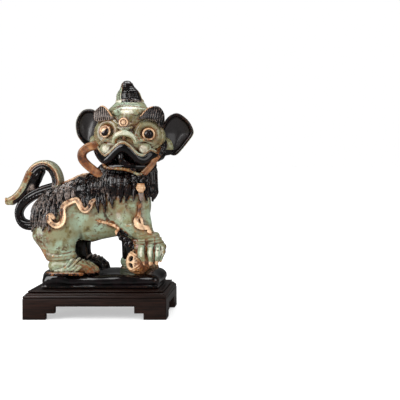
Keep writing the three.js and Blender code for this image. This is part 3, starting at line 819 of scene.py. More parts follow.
def head():
    clay = Clay((-14, -66, 204), (108, 36, 312))
    clay.add([egg(*SKULL), egg(*CHEEKS), egg((42, -36, 246), (31, 17, 14))], 8)
    for side, lean in LEANS.items():
        x, y, z = EYE_AT[side]
        clay.add(egg((x - 2 * lean, y + 13, z), (18, 14, 17)), 6)
        clay.add(egg((x + 8 * lean, y + 18, z - 4), (14, 16, 18)), 6)
        clay.add(coil(disc_points((x - 1.5 * lean, y + 1.5, z), EYE_FACING[side], 14.5, 20), 3.2), 3.5)
        clay.add(coil(disc_points((x, y + 4.5, z - 1), EYE_FACING[side], 19.5, 20), 1.6), 3.0)
        lobe = FACE_X + 26 * lean
        clay.add(egg((lobe, -41, 240), (10, 8.5, 9.5)), 2)
        over = [(lobe - 8 * lean, -49, 250), (lobe + 2 * lean, -48, 252), (lobe + 11 * lean, -40, 247)]
        clay.add(coil(over, [1.8, 2.2, 1.6]), 1.5)
        cheek = [(x + 14 * lean, -26, 256), (x + 18 * lean, -16, 249), (x + 16 * lean, -10, 240)]
        clay.add(coil(cheek, [4, 5, 4]), 3)
        near, far = FACE_X + 3 * lean, FACE_X + 10 * lean
        for rise in (0, 5.5):  # wrinkles over the bridge of the nose
            clay.add(coil([(near, -48 + rise, 267 + rise), (far, -46 + rise, 269.5 + rise)], 1.4), 2.4)
    clay.add(coil([(41, -45, 264), (41, -39, 272), (42, -32, 286)], [5.5, 5.5, 8]), 5)
    clay.add(limb(((41, -2, 306), (20, 14, 6)), ((42, -16, 293), (31, 16, 9))), 4)
    for z, y, wide in ((303, -17, 18), (298, -24, 22), (292, -31, 17)):  # folds across the forehead
        fold = [(FACE_X + wide * k / 3, y + 0.9 * k * k, z - 1.1 * abs(k) ** 1.5) for k in range(-3, 4)]
        clay.add(coil(clay.settle(np.array(fold), -0.5), [0.8, 1.5, 2.0, 1.8, 2.1, 1.6, 0.8]), 1.6)
    clay.add(egg((96, -9, 243), (9, 7, 13), -14), 3)
    clay.add(egg((-9, -10, 250), (7, 6, 9)), 4)
    clay.carve(egg((42, -38, 222), (31, 30, 13)), 2)
    clay.add(coil([(x, y + 3, z - 7) for x, y, z in smooth_path(UPPER_LIP, 26)], 5.2), 4)
    clay.add(coil(smooth_path(UPPER_LIP, 30), 2.3), 1.2)
    for x in (31, 51):  # teeth on both sides, and the longer point between them
        clay.add(coil([(x, -44, 238), (x + 0.5, -46, 229), (x, -45, 225)], [3, 2.4, 1.2]), 1)
    clay.add(coil([(37, -47, 236), (36.5, -49, 226), (36, -48, 218)], [4.2, 3.6, 1.4]), 1)
    return clay.keep_above(206)


def head_black(p):
    x, y, z = p.T
    lip = fade(lip_height(x) - z, 0.8, 2.6) * fade(y, 4, -6)
    hair = np.maximum(fade(y, 4, 12) * fade(z, 296, 286), fade(y, 14, 20))
    jowl = fade(z, 240, 232) * fade(y, -16, -8)
    return np.maximum.reduce([lip, hair, jowl])


def head_amber(p):
    """A fine line along the upper lip."""
    x, y, z = p.T
    return 0.75 * hump(lip_height(x) - z, 0.3, 0.9) * fade(y, -8, -20)


def head_pale(p):
    x, y, z = p.T
    above = z - lip_height(x)
    edge = fade(above, 0.2, 1.0) * fade(above, 3.2, 2.0) * fade(y, -20, -34)
    patch = hump(x, 46, 18) * hump(z, 294, 9) * fade(y, 0, -8)
    # the cheek lobes' pale glaze is partly a painted highlight
    lobes = hump(np.abs(x - FACE_X), 26, 9) * hump(z, 239, 9) * fade(y, -30, -40)
    crown = fade(z, 292, 300)
    return np.maximum.reduce([1.1 * edge, 1.7 * patch, 1.5 * lobes, 0.85 * crown]) - 0.5


def head_rust(p):
    """Brown glaze lines: round the eyes, over and beside the nose, and between the folds of the forehead."""
    x, y, z = p.T
    lines = []
    for side in LEANS:
        away, out = p - EYE_AT[side], unit(EYE_FACING[side])
        gap = np.linalg.norm(away - (away @ out)[:, None] * out, axis=1)
        lines.append(0.95 * hump(gap, 10.2, 1.7) * fade(y, -16, -26))
    ring = np.hypot((x - FACE_X) / 1.25, z - 247.5)
    lines.append(0.8 * hump(ring, 17, 1.5) * fade(z, 247, 252) * fade(y, -30, -42))
    for level in (300.5, 295, 288.5):
        lines.append(0.75 * hump(z + 0.004 * (x - FACE_X) ** 2, level, 0.9) * fade(y, 4, -6))
    lines.append((0.36 + 0.2 * np.sin(x / 6 + z / 4)) * fade(y, -18, -30) * fade(z, 290, 278))
    return np.maximum.reduce(lines)


def lower_jaw():
    clay = Clay((-4, -62, 192), (90, 2, 244))
    clay.add([egg((42, -24, 214), (37, 27, 11)), egg((42, -12, 224), (37, 18, 13))], 4)
    clay.carve(egg((42, -33, 229), (31, 27, 14)), 1.5)
    clay.add(coil(smooth_path(JAW_RIM, 26), 1.9), 1.2)
    return clay.add(egg((53, -53, 210), (6, 2.5, 3)), 1.5)


def jaw_rim_near(p, width=2.6):
    gap = np.min(np.linalg.norm(p[:, None] - smooth_path(JAW_RIM, 40)[None], axis=2), axis=1)
    return fade(gap, width + 1.4, width - 0.6)


def jaw_black(p):
    return 1 - jaw_rim_near(p) * fade(p[:, 1], -14, -24)


# a pale patch on the jaw rim: pale glaze, and partly a painted highlight
def jaw_pale(p):
    return 2.2 * hump(p[:, 0], 63, 4.5) * jaw_rim_near(p, 1.6) - 0.8


def jaw_rust(p):
    return 0.95 * fade(np.abs(p[:, 0] - 63), 5, 9)


def tongue():
    clay = Clay((26, -58, 206), (60, -8, 234))
    blobs = ((42, -24, 214), (13, 15, 4)), ((42, -42, 217), (11, 8, 4)), ((38, -46, 222), (6, 4, 5))
    clay.add(limb(*blobs), 2)
    return clay.carve(coil([(42, -22, 219), (42, -44, 222)], 1.2), 1)


def nose():
    clay = Clay((14, -64, 240), (70, -34, 274))
    arch = [(28, -50, 250), (29.5, -52, 254.5), (34, -54.5, 259), (42, -56, 261.5), (50, -54.5, 259),
            (55, -52, 254.5), (57, -50, 250)]
    clay.add(coil(smooth_path(arch, 16), 3.0 + 1.0 * np.sin(np.linspace(0, math.pi, 16))), 1.0)
    clay.add([egg((x, -50, 249), (4.2, 4.6, 3.8)) for x in (28, 57)], 1.5)
    clay.add(egg((42, -46, 252), (13, 5, 6)), 2)
    clay.add(coil([(42, -53, 257), (42, -51.5, 249)], 2.6), 1.2)
    return clay.carve([egg((x, -54, 250.5), (3.8, 8, 3.6)) for x in (35.5, 48.5)], 1.0)


# the pale band on top of the nose arch is pale glaze, and partly a painted highlight
def nose_pale(p):
    x, y, z = p.T
    arch = 248.5 + 13 * np.sqrt(np.clip(1 - ((x - FACE_X) / 17) ** 2, 0, 1))
    return 0.95 * fade(np.abs(z - arch), 4.4, 2.2) * fade(y, -50, -55) - 0.3


def nose_rust(p):
    x, y, z = p.T
    under = 248 + 9.5 * np.sqrt(np.clip(1 - ((x - FACE_X) / 13) ** 2, 0, 1))
    return 1.2 * fade(np.abs(x - FACE_X), 14, 12) * fade(z - under, 0.6, -1.2)


def eyeball(side):
    facing = EYE_FACING[side]
    middle = EYE_AT[side] + 1.5 * facing
    clay = Clay(middle - 9, middle + 9).add(egg(middle, 7.6), 1)
    return clay.carve(coil([middle + 8.6 * facing, middle + 12 * facing], 1.6), 1.5)


def eye_white_and_highlight(side):
    """The pale glaze on the upper outer part of an eyeball, which is also a painted highlight on it."""
    edge = {"right": 1.5, "left": 4.6}[side]

    def amount(p):
        return 0.9 * fade((p - EYE_AT[side]) @ np.array([-0.6, 0, 0.8]), edge, edge + 2.5)

    return amount


def eye_ring(side):
    """A thin roll round the eyeball."""
    middle = EYE_AT[side] + 4.2 * EYE_FACING[side]
    clay = Clay(middle - 14, middle + 14)
    return clay.add(coil(disc_points(middle, EYE_FACING[side], 7.6, 20), 1.4), 0.5)


def leaf(outline, depth, thick):
    """A leaf of clay whose outline (x, z) is given as seen from the front. depth(x, z, share) is the Y of its
    middle and thick(x, z) half its thickness. share is 0 at the middle and 1 at the edge."""
    outline = smooth_path(outline, 48, closed=True)
    middle, low, high = outline.mean(axis=0), outline.min(axis=0), outline.max(axis=0)
    angle = np.arctan2(outline[:, 1] - middle[1], outline[:, 0] - middle[0])
    order = np.argsort(angle)
    angle, radius = angle[order], np.linalg.norm(outline - middle, axis=1)[order]

    def share(x, z):
        around = np.arctan2(z - middle[1], x - middle[0])
        return np.hypot(x - middle[0], z - middle[1]) / np.interp(around, angle, radius, period=FULL)

    def distance(x, y, z):
        s = share(x, z)
        edge = (s - 1) * 0.5 * (radius.min() + radius.max())
        return -smooth_min(thick(x, z) - np.abs(y - depth(x, z, s)) * 0.85, -edge - 0 * y, 1.6)

    ys = np.append(depth(*outline.T, 1.0), depth(*middle, 0.0))
    low, high = np.array((low[0], ys.min() - 6, low[1])), np.array((high[0], ys.max() + 6, high[1]))
    clay = Clay(low - (5, 4, 5), high + (5, 4, 5)).add((low - 2, high + 2, distance), 1)
    return clay, share, outline


BROWS = {  # outlines (x, z) as seen from the front
    "right": [(-4, 281), (-4.5, 291), (2, 298), (7.5, 301), (14, 297), (20, 289.5), (24, 283), (20, 280),
              (10, 279), (2, 278)],
    "left": [(60, 281), (65, 289), (72, 297), (80, 300), (88, 299), (94, 290), (95, 280), (93, 271),
             (89, 269), (86, 276), (78, 280), (68, 281)],
}


def brow(side):
    lean = LEANS[side]

    def depth(x, z, share):
        outward = np.maximum(lean * (x - FACE_X) - 18, 0)
        crown = 2.2 * (1 - np.clip(share, 0, 1) ** 2)
        return -37.5 + 0.0085 * outward**2 + 0.28 * np.maximum(z - 284, 0) - crown

    def thick(x, z):
        return 3.6 + 0.55 * np.cos((x - 0.12 * lean * (z - 285)) * FULL / 3.0)

    clay, share, _ = leaf(BROWS[side], depth, thick)

    def amber(p):
        x, y, z = p.T
        return 1.1 * fade(share(x, z), 0.84, 0.93) * fade(lean * (x - FACE_X), 44, 30) * fade(z, 283, 287)

    return clay, amber


EARS = {  # outline (x, z) as seen from the front, how deep the cup is and how the ear turns back
    "right": ([(-7, 291), (-14, 295), (-24, 293.5), (-31, 286), (-34.5, 276), (-33, 262), (-27, 252),
               (-19, 246), (-12, 251), (-5, 266), (-3, 282)], 9, -0.12),
    "left": ([(93, 275), (100, 284.5), (109, 289), (117, 286), (126, 278), (131.5, 267), (131, 260),
              (124, 250), (113, 236.5), (106, 232), (98, 236), (92, 246), (88, 262)], 11, 0.16),
}


def ear(side):
    outline, cup, turn = EARS[side]
    middle = np.mean(outline, axis=0)

    def depth(x, z, share):
        return -8 + turn * (x - middle[0]) + cup * np.clip(1 - share**2, 0, 1)

    clay, share, edge = leaf(outline, depth, lambda x, z: 2.3)
    rim = [(x, -9 + turn * (x - middle[0]), z) for x, z in np.vstack([edge, edge[:1]])]
    clay.add(coil(rim, 1.9), 1.5)

    def black(p):
        x, y, z = p.T
        within = share(x, z)
        return fade(y - depth(x, z, within), 1.6, 0.2) * fade(within, 1.12, 1.05)

    # the cup's dull inside, with a grey painted sheen over its black
    def matt_and_sheen(p):
        return 0.95 * black(p) * fade(share(p[:, 0], p[:, 2]), 0.92, 0.76)

    return clay, {"black": black, "pale": matt_and_sheen}


def topknot():
    core = limb(((41, 0, 300), (23, 17, 8)), ((38.5, 1, 317), (15.5, 12, 9)), ((36.5, 3, 330), (8.5, 8, 8)))
    clay, surface = (Clay((8, -26, 288), (72, 28, 346)).add(core, 5) for _ in range(2))
    strands = 30
    for i in range(strands):
        a = (i + RNG.uniform(-0.3, 0.3)) / strands * FULL
        rows = ((40, 22, 0, 18, 305), (39, 16, 1, 14, 314), (37, 10, 3, 9, 326), (36, 2, 3, 2, 337))
        path = smooth_path([(x + u * math.cos(a), y + v * math.sin(a), z) for x, u, y, v, z in rows], 14)
        clay.add(coil(surface.settle(path, -0.7), np.linspace(1.9, 1.2, 14)), 1.2)
    for z, r in ((303, 1.0), (309, 0.86)):  # the band round its foot
        a = circle(25)
        ring = np.stack([41 + 22 * r * np.cos(a), 16.5 * r * np.sin(a), z + 1.2 * np.sin(3 * a)], 1)
        clay.add(coil(surface.settle(ring, -0.4), 2.0), 1.5)
    return clay


def topknot_black(p):
    """A dark patch on the front, and dark streaks combed down beside it."""
    x, y, z = p.T
    rise = np.clip((z - 304) / 34, 0, 1)
    patch = fade(np.abs(x - 46 + 6 * rise) / (15 - 7 * rise), 1.2, 0.8) * fade(z, 303, 308)
    streak = 0.46 + 0.28 * np.sin(x * 2.3 + 0.5 * np.sin(z / 4))
    beside = streak * fade(x, 44, 36) * fade(z, 305, 311)
    return np.maximum(1.05 * patch, beside) * fade(y, 6, -2)


def topknot_pale(p):
    x, y, z = p.T
    return 0.9 * fade(z, 316, 304) + 0.35 * fade(x, 40, 30) - 0.2


def topknot_rust(p):
    x, y, z = p.T
    return 0.9 * fade(np.abs(x - 54 + 0.28 * (z - 304)), 5, 2) * fade(z, 304, 310)


def boss():
    """The knob on the forehead: a ring with a flower of small beads inside."""
    middle = node_middle("forehead_boss") + (-1, -1.5, -0.5)
    clay = Clay(middle - 12, middle + 12)
    clay.add(limb((middle + (0, 6, 0), (6, 4, 6)), (middle + (0, 1, 0), (5.6, 4, 5.6))), 1)
    clay.add(coil(disc_points(middle + (0, -2.2, 0), (0, -1, 0.1), 5.3), 1.4), 0.6)
    for point in disc_points(middle + (0, -3.2, 0), (0, -1, 0), 2.5, 6)[:-1]:
        clay.add(egg(point, 1.25), 0.4)
    clay.add(egg(middle + (0, -3.8, 0), 1.3), 0.4)

    def groove(p):
        gap = np.hypot(p[:, 0] - middle[0], p[:, 2] - middle[2])
        return 1.1 * np.maximum(fade(np.abs(gap - 3.9), 1.0, 0.3), fade(gap, 6.0, 7.0))

    return clay, groove


def forehead_curl(side):
    middle = node_middle(f"{side}_forehead_curl")
    clay = Clay(middle - 12, middle + 12).add(egg(middle + (0, 5, 0), (6.5, 5, 5)), 1)
    spiral = [(LEANS[side] * (6.0 - 0.5 * a) * math.cos(a), 2.2 - 0.2 * a, (4.2 - 0.35 * a) * math.sin(a))
              for a in circle(16, 1.6 * FULL)]
    return clay.add(coil(middle + spiral, np.linspace(1.7, 1.2, 16)), 0.8)


# ---- straps, bell and scrolls --------------------------------------------------------------------------
RIGHT_STRAP = [(5, -22, 242), (-5, -25, 243.5), (-15, -26, 241), (-23, -25, 234), (-23.5, -23, 225),
               (-17, -22, 216.5), (-8, -22, 209), (1, -23, 202), (8, -22, 195)]
LEFT_STRAP = [(86, -22, 240), (87, -28, 233), (83, -34, 226), (78, -38, 217), (72, -41, 209), (66, -41, 203),
              (61, -36, 198)]
SCROLL = [(-60, 141), (-64, 146), (-68.5, 143), (-64.5, 135), (-56.5, 130.5), (-49, 134.5), (-46.5, 143),
          (-48, 152.5), (-46, 161), (-40, 167), (-32, 170.5), (-26.5, 164), (-22.5, 156), (-16.4, 151.8),
          (-11, 156), (-8, 165), (-3, 169)]
LEG_FLAME = [(64, 164), (63.5, 156), (62.5, 147), (57, 140), (58, 133), (64, 129.5), (71, 129), (78, 131)]
LEG_WISP = [(62, 146), (66, 142), (67, 136), (64, 132)]
LEG_HOOK = [(76, 131), (80, 128), (79, 124.5), (75.5, 125.5)]


def strap(path, wide, thick, dish):
    """A loop from the corner of the mouth to the neck."""
    path = smooth_path(path, 44)
    return Clay.round(path, 9).add(ribbon(path, (0.1, -1, 0.1), wide, thick, 3.0, dish), 1.5)


def strap_rust(p):
    return 0.75 + 0.25 * np.sin(p[:, 2] / 5)


def bell():
    """The bell, its tassel below and the curls above it."""
    clay = Clay((46, -62, 168), (84, -32, 208))
    clay.add(limb(((64, -46, 189.5), (5.2, 5, 3.5)), ((64, -47, 184.5), (6.2, 6.2, 6.4))), 2)
    clay.add(coil([(64 + 6 * math.cos(a), -47 + 6 * math.sin(a), 185) for a in circle(13)], 0.8), 0.6)
    clay.carve(coil([(60, -54, 179.5), (68, -54, 179.5)], 1.0), 0.5)
    clay.add(limb(((64, -45, 176), (4, 4, 5)), ((64, -43, 170), (2.5, 3, 4))), 1)
    for x, z in ((54, 193), (58, 198), (64, 200), (70, 198), (75, 193), (67, 194), (60, 193.5)):
        curl = ringlet(x, -45 + 0.12 * abs(x - 64), z, 3.4, -0.4, circle(9, 4.5))
        clay.add(coil(curl, np.linspace(1.8, 1.2, 9)), 0.6)
    return clay


def bell_black(p):
    return np.maximum(fade(p[:, 2], 190.0, 191.5), fade(p[:, 2], 178.5, 177))


def bell_pale(p):
    return 0.5 * fade(p[:, 2], 190.5, 188)


def on_surface(surface, points, y, dx, count, above):
    """A smooth path over a surface, from points (x, z) as seen from one side."""
    return surface.settle(smooth_path([(x + dx, y, z) for x, z in points], count), above, 8)


def flank_scroll(side):
    """The wavy ribbon on a flank."""
    path = on_surface(FLANK, SCROLL, side * 42, 0, 46, 2.4)
    wide = 7.6 - 3.2 * np.abs(np.linspace(-1, 1, 46)) ** 4
    return Clay.round(path, 9).add(ribbon(path, FLANK.slope(path), wide, 6.0, 1.4, 1.6), 1.0)


def scroll_pale(p):
    return 1.1 + 0.2 * np.sin(p[:, 0] / 7)


def scroll_rust(p):
    return 0.75 * hump(p[:, 0], -14, 9) + 0.5 * hump(p[:, 0], -62, 5)


def leg_scroll(side, dx):
    """The flame on a foreleg, with a wisp and a hooked end. dx moves it along to fit the left leg."""
    path = on_surface(BODY, LEG_FLAME, side * 46, dx, 18, 1.2)
    wide = np.interp(np.arange(18), [0, 6, 9, 13, 17], [3.4, 4.6, 8.0, 7.0, 5.0])
    clay = Clay.round(path, 8).add(ribbon(path, BODY.slope(path), wide, 4.2, 1.2, 0.8), 1.0)
    for points, radii in ((LEG_WISP, (1.6, 2.0)), (LEG_HOOK, (2.2, 1.4))):
        clay.add(coil(on_surface(BODY, points, side * 46, dx, 8, 1.0), np.linspace(*radii, 8)), 1.0)
    return clay


def flame_pale(p):
    return 0.8 * fade(p[:, 2], 146, 138)


def flame_rust(p):
    return np.maximum(1.1 * fade(p[:, 2], 142, 150), 0.5 + 0.4 * np.sin(p[:, 0] / 1.6 + p[:, 2] / 3))


# ---- the tail ------------------------------------------------------------------------------------------
STEM = [(-88, 132), (-98, 128.5), (-108, 128), (-116, 131), (-121, 138), (-122, 148), (-117, 158.5),
        (-107, 168), (-94, 175.5), (-78, 181), (-66, 184)]
CURL = [(-66, 183), (-64.5, 193), (-67.5, 204), (-73.5, 212.5), (-83, 216.5), (-93, 213.5), (-101, 205.5),
        (-106, 195)]
PLUME = [(-101, 204), (-106, 193), (-112, 181), (-120, 171.5), (-128, 166), (-135, 163.5)]


def tail_path(points, count):
    """A smooth path in the tail's middle plane, and the direction in that plane square to it."""
    path = smooth_path([(x, 0.0, z) for x, z in points], count)
    along = np.gradient(path, axis=0)
    return path, unit(np.stack([-along[:, 2], 0 * along[:, 0], along[:, 0]], 1))


def tail_band(points, thick, wide, grooves, swell=lambda t: 1.0):
    """A band of clay with grooved sides. swell scales it along its way."""
    path, out = tail_path(points, 30)
    clay = Clay.round(path, np.array((12, 20, 12)), 0.8)
    for i in range(len(path) - 1):
        scale = swell(i / (len(path) - 1))
        clay.add(ribbon(path[i : i + 2], out[i : i + 2], wide * scale, thick * scale, 4.5 * scale), 2.0)
    for side in (-1, 1):
        for shift in grooves:
            line = path + out * shift + (0, side * (wide / 2 + 0.6), 0)
            clay.carve(coil(line[2:-1], 1.3), 1.0)
    return clay


def stem():
    """The tail's lower part. It is thinnest round its outer bend."""
    return tail_band(STEM, 14, 21, (-2.4, 1.8), lambda t: 1.0 - 0.32 * hump(t, 0.42, 0.2))


def curl():
    clay = tail_band(CURL, 12.0, 25.5, (-1.5, 2.0))
    web = ((-88, 0, 206), (4, 11, 5)), ((-96, 0, 196), (6.5, 11.5, 8)), ((-101, 0, 184), (7, 11, 8))
    return clay.add(limb(*web), 3)


def plume():
    clay = tail_band(PLUME, 14.5, 25, (-4.2, -1.2, 2.0, 4.6), lambda t: 1.0 - 0.42 * t**2)
    path, out = tail_path(PLUME, 16)
    t = np.linspace(0, 1, 16)[:, None]
    for shift in (-5.4, -2.6, 0.2):
        for side in (-1, 1):
            line = path + out * shift * (1 - 0.5 * t) + np.array([0, side, 0]) * (11.5 - 5.5 * t**2)
            clay.add(coil(line, np.linspace(2.0, 1.5, 16)), 1.0)
    return clay.add(coil([(-132, 0, 163), (-138, 0, 162), (-141, 0, 166.5)], [6.0, 4.4, 2.0]), 2)


def inward(points, p):
    """How far places lie to the inner side of a route in the XZ plane."""
    path, out = tail_path(points, 40)
    dx, dz = p[:, None, 0] - path[None, :, 0], p[:, None, 2] - path[None, :, 2]
    nearest = np.argmin(dx**2 + dz**2, axis=1)
    return ((p - path[nearest]) * out[nearest]).sum(axis=1)


def curl_black(p):
    return fade(inward(CURL, p), -2.0, 1.5)


def plume_black(p):
    return fade(inward(PLUME, p), 0.5, 3.0) * fade(p[:, 0], -134, -124)


def tail_amber(p):
    return np.maximum(0.62 * hump(inward(CURL + PLUME[2:], p), -3.2, 1.8), 0.42 * fade(p[:, 0], -80, -96))


def tail_olive(p):
    return 0.45 * np.sin(p[:, 2] / 5 + p[:, 1] / 3)


def tail_rust(p):
    """Brown lines along the tail: between its jade and its black, and at its outer edge."""
    place = inward(CURL + PLUME[2:], p)
    return np.maximum(0.95 * hump(place, -0.9, 1.1), 0.7 * hump(place, -5.6, 0.8))


# ---- paws, ball and plinth -----------------------------------------------------------------------------
TOE_PITCH = 7.6
BALL_RADIUS = 17.8
FINGERS = [  # where each starts, its knuckle, its tip, and its width
    ((63, -37, 101), (64, -43, 92), (69, -41, 81), 12.0),
    ((76.5, -38, 101), (77, -44, 92), (76.5, -42, 81), 10.0),
    ((86, -35, 100), (86.5, -41, 92), (84.5, -39, 81.5), 9.4),
    ((90.5, -27, 100), (92, -32, 93), (89, -32, 84.5), 9.0),
]


def standing_paw(node, rise):
    """A paw that stands on the plinth. rise is how high its instep is over the sole."""
    low, high = node_box(node)
    clay = Clay(low - 6, high + 14)
    back, y, sole, length = low[0], (low[1] + high[1]) / 2, low[2] + 1.0, high[0] - low[0]
    middle = (back + 0.5 * length, y, sole + rise)
    clay.add(limb(((back + 17, y, sole + 13), (16, 12.5, 12)), (middle, (16, 14, 10))), 5)
    clay.add(limb((middle, (14, 14, 9)), ((back + 0.68 * length, y, sole + 9), (14, 15, 9))), 4)
    for i in (-1.5, -0.5, 0.5, 1.5):  # the toes
        x, side = back + 0.66 * length - 2.2 * abs(i), y + TOE_PITCH * i
        front, top = high[0] - 6.0 - 3.4 * abs(i), sole + rise + 1.5 - abs(i)
        knuckle, middle_joint = (x, side, top), (x + 0.55 * (front - x), side, top - 1.5)
        tip = (front - 2, side + 0.5 * i, sole + 7)
        clay.add(limb((knuckle, (7, 4.6, 5)), (middle_joint, (6, 4.4, 5.5)), (tip, (6, 4.3, 6.5))), 1.0)
        claw = [(front + 1.5, side + 0.7 * i, sole + 9), (front + 4.5, side + i, sole + 3)]
        clay.add(coil(claw, [2.6, 1.4]), 0.8)
        fold = [(x + 3, side - 3.4, top + 2.6), (x + 5, side, top + 5.0), (x + 3, side + 3.4, top + 2.6)]
        clay.add(coil(fold, 1.0), 0.8)
    for k in range(4):  # folds of skin that run down from the instep to the sole
        x = back + (0.44 + 0.09 * k) * length
        half = [(x - 20 + 2 * k, 14, sole + 4), (x - 9, 13.5, sole + 9), (x + 1, 10, sole + rise + 2)]
        arch = [(u, y - v, z) for u, v, z in half] + [(x + 4, y, sole + rise + 7)]
        arch += [(u, y + v, z) for u, v, z in reversed(half)]
        clay.add(coil(clay.settle(smooth_path(arch, 16), 0.3), 2.0), 0.6)
    for side in (-1, 1):  # the rim of the sole
        rim = ((2, 9, 3), (12, 14, 2.6), (0.45 * length, 16, 3.4), (0.72 * length, 16.5, 2.6))
        edge = smooth_path([(back + u, y + side * v, sole + w) for u, v, w in rim], 10)
        clay.add(coil(edge, [2.2, 2.6, 3, 2.6, 2.9, 3.1, 2.7, 2.9, 2.6, 2.2]), 1.2)
    return clay.keep_above(sole - 2.5)


def paw_paint(node, dark):
    """A paw's paints: brown in the seams between its toes and round its sole."""
    low, high = node_box(node)

    def black(p):
        edge = 0.62 * fade(p[:, 2], low[2] + 8, low[2] + 4)
        toes = 0.42 * fade(p[:, 0], high[0] - 26, high[0] - 12)
        return np.maximum(edge, toes)

    def amber(p):
        toes = 0.52 + 0.2 * fade(p[:, 0], high[0] - 16, high[0] - 6)
        return 0.62 * np.maximum(fade(p[:, 2], low[2] + 8, low[2] + 5), toes)

    def pale(p):
        return 0.9 * fade(p[:, 2], low[2] + 15, low[2] + 24) - 0.3

    def rust(p):
        x, y, z = p.T
        across = (y - (low[1] + high[1]) / 2) / TOE_PITCH
        seam = 0.9 * fade(np.abs(across - np.round(across)), 0.24, 0.1) * fade(x, high[0] - 34, high[0] - 24)
        return np.maximum(1.1 * fade(z, low[2] + 9, low[2] + 5), seam)

    return {"black": even(0.95) if dark else black, "amber": amber, "pale": pale, "rust": rust}


def right_forepaw():
    clay = Clay((40, -58, 66), (106, -8, 122))
    clay.add(limb(((66, -28, 104), (19, 13, 8)), ((82, -27, 99), (15, 13, 9))), 4)
    clay.add([egg((78, -30, 93), (14, 12, 12)), egg((79, -25, 108), (10, 13, 9))], 4)
    for top, knuckle, tip, wide in FINGERS:
        half = wide / 2
        clay.add(limb((top, (half, 6, 5)), (knuckle, (half, 6.5, 6)), (tip, (half - 0.8, 5, 5))), 0.7)
        clay.add(egg(np.array(tip) + (0.6, -3.2, -2.6), (half - 2.0, 2.6, 4.0)), 0.5)  # its nail
    for finger, after in zip(FINGERS, FINGERS[1:]):  # the creases between the fingers
        seam = (np.array(finger[:3]) + np.array(after[:3])) / 2 + (0, -5.4, 0)
        clay.carve(coil(clay.settle(smooth_path(seam, 8), 0.2), 1.2), 0.8)
    clay.add(limb(((58, -35, 99), (6, 7, 7)), ((60, -38, 90), (4, 5, 6)), ((66, -38, 82), (3, 4, 5))), 1.5)
    for lift in (0, 4.0, 8.0):
        cuff = [(48, -33, 105), (60, -42, 107), (76, -42, 108.5), (87, -34, 106.5), (91, -22, 105)]
        clay.add(roll(clay, [(x, y, z + lift) for x, y, z in cuff], 2.1, 1.6), 0.8)
    return clay


def forepaw_amber(p):
    return 0.62 * fade(p[:, 2], 84, 79)


def forepaw_rust(p):
    x, y, z = p.T
    folds = bands(z - 105 - 0.06 * (x - 70), 4.0) ** 2 * fade(z, 101, 104)
    between = np.min([np.abs(x - knuckle[0]) / wide for _, knuckle, _, wide in FINGERS], axis=0)
    return np.maximum(0.8 * folds, 1.1 * fade(between, 0.34, 0.46) * fade(y, -18, -30))


def forepaw_pale(p):
    x, y, z = p.T
    middle = np.max([hump(x, knuckle[0], 3.2) for _, knuckle, _, _ in FINGERS], axis=0)
    return 1.15 * middle * fade(np.abs(z - 94), 10, 5) * fade(y, -26, -34) - 0.3


def ball():
    """The hollow ball, with windows and petals cut through each eighth of it and bands between them."""
    middle = node_middle("ball")
    clay = Clay(middle - 24, middle + 24).add(egg(middle, BALL_RADIUS), 1)
    toward = unit(np.array([-0.42, -0.91, 0.04]))
    aside = -unit(np.cross(toward, (0, 0, 1)))
    upright = np.cross(toward, aside)
    axes = []
    for turn in (FULL / 3, 2 * FULL / 3, 0):  # one corner of the pattern faces the front
        spoke = math.cos(turn) * aside + math.sin(turn) * upright
        axes.append(toward / math.sqrt(3) + math.sqrt(2 / 3) * spoke)
    for signs in 2 * CORNERS - 1:
        a, b, c = (sign * axis for sign, axis in zip(signs, axes))
        corner = (a + b + c) / math.sqrt(3)
        for axis in (a, b):  # two windows round each corner
            window = unit(corner + 0.66 * axis)
            clay.carve(coil([middle + 10 * window, middle + 22 * window], [3.5, 5.6]), 0.8)
        for spread in (-0.5, -0.17, 0.17, 0.5):  # and a fan of cut petals
            petal = unit(corner + 0.75 * c + spread * (a - b))
            ends = [middle + (BALL_RADIUS + 0.5) * corner, middle + (BALL_RADIUS + 0.4) * petal]
            clay.carve(coil(ends, [0.9, 1.4]), 0.6)
    clay.carve(egg(middle, BALL_RADIUS - 5.0), 0.5)
    for axis in axes:
        for shift in (-1.7, 1.7):
            ring = disc_points(middle + shift * axis, axis, math.sqrt(BALL_RADIUS**2 - shift**2) - 0.3, 26)
            clay.add(coil(ring, 0.9), 0.8)

    def black(p):
        return fade(np.linalg.norm(p - middle, axis=1), BALL_RADIUS - 1.8, BALL_RADIUS - 3.6)

    # paler towards the left above the bottom, browner towards the right and at the bottom
    def pale(p):
        x, _, z = (p - middle).T
        return 0.6 * fade(x, 4, -6) * fade(z, -16, -8)

    def rust(p):
        x, _, z = (p - middle).T
        return 0.9 * np.maximum(fade(x, 2, 9), fade(z, -11, -15))

    return clay, {"black": black, "pale": pale, "rust": rust}


def rock(x, y, z):
    """The plinth's uneven hand-cut sides."""
    wave = np.sin(x / 13.0 + 0.7 + 0.02 * y) + 0.6 * np.sin(x / 7.0 + y / 9.0 + z / 8)
    return 0.7 * (wave + 0.7 * np.sin(y / 11.0 + 1.0))


def plinth():
    low, high = node_box("plinth")
    clay = Clay(low - 5, high + (5, 5, 10), COARSE)
    clay.add(block(low + (0.8, 0.8, 0.4), (high[0] - 0.8, high[1] - 0.8, 60.0), 9.5), 1)
    for mound in (((-58, -6, 56), (26, 34, 9)), ((66, 6, 55), (24, 30, 6)), ((0, 10, 53), (60, 26, 9))):
        clay.add(egg(*mound), 8)
    clay.swell(rock)
    clay.add(block(low + (1.5, 1.5, 0.4), (high[0] - 1.5, high[1] - 1.5, low[2] + 4.5), 1.6), 1.4)
    return clay.keep_above(low[2] + 0.3)


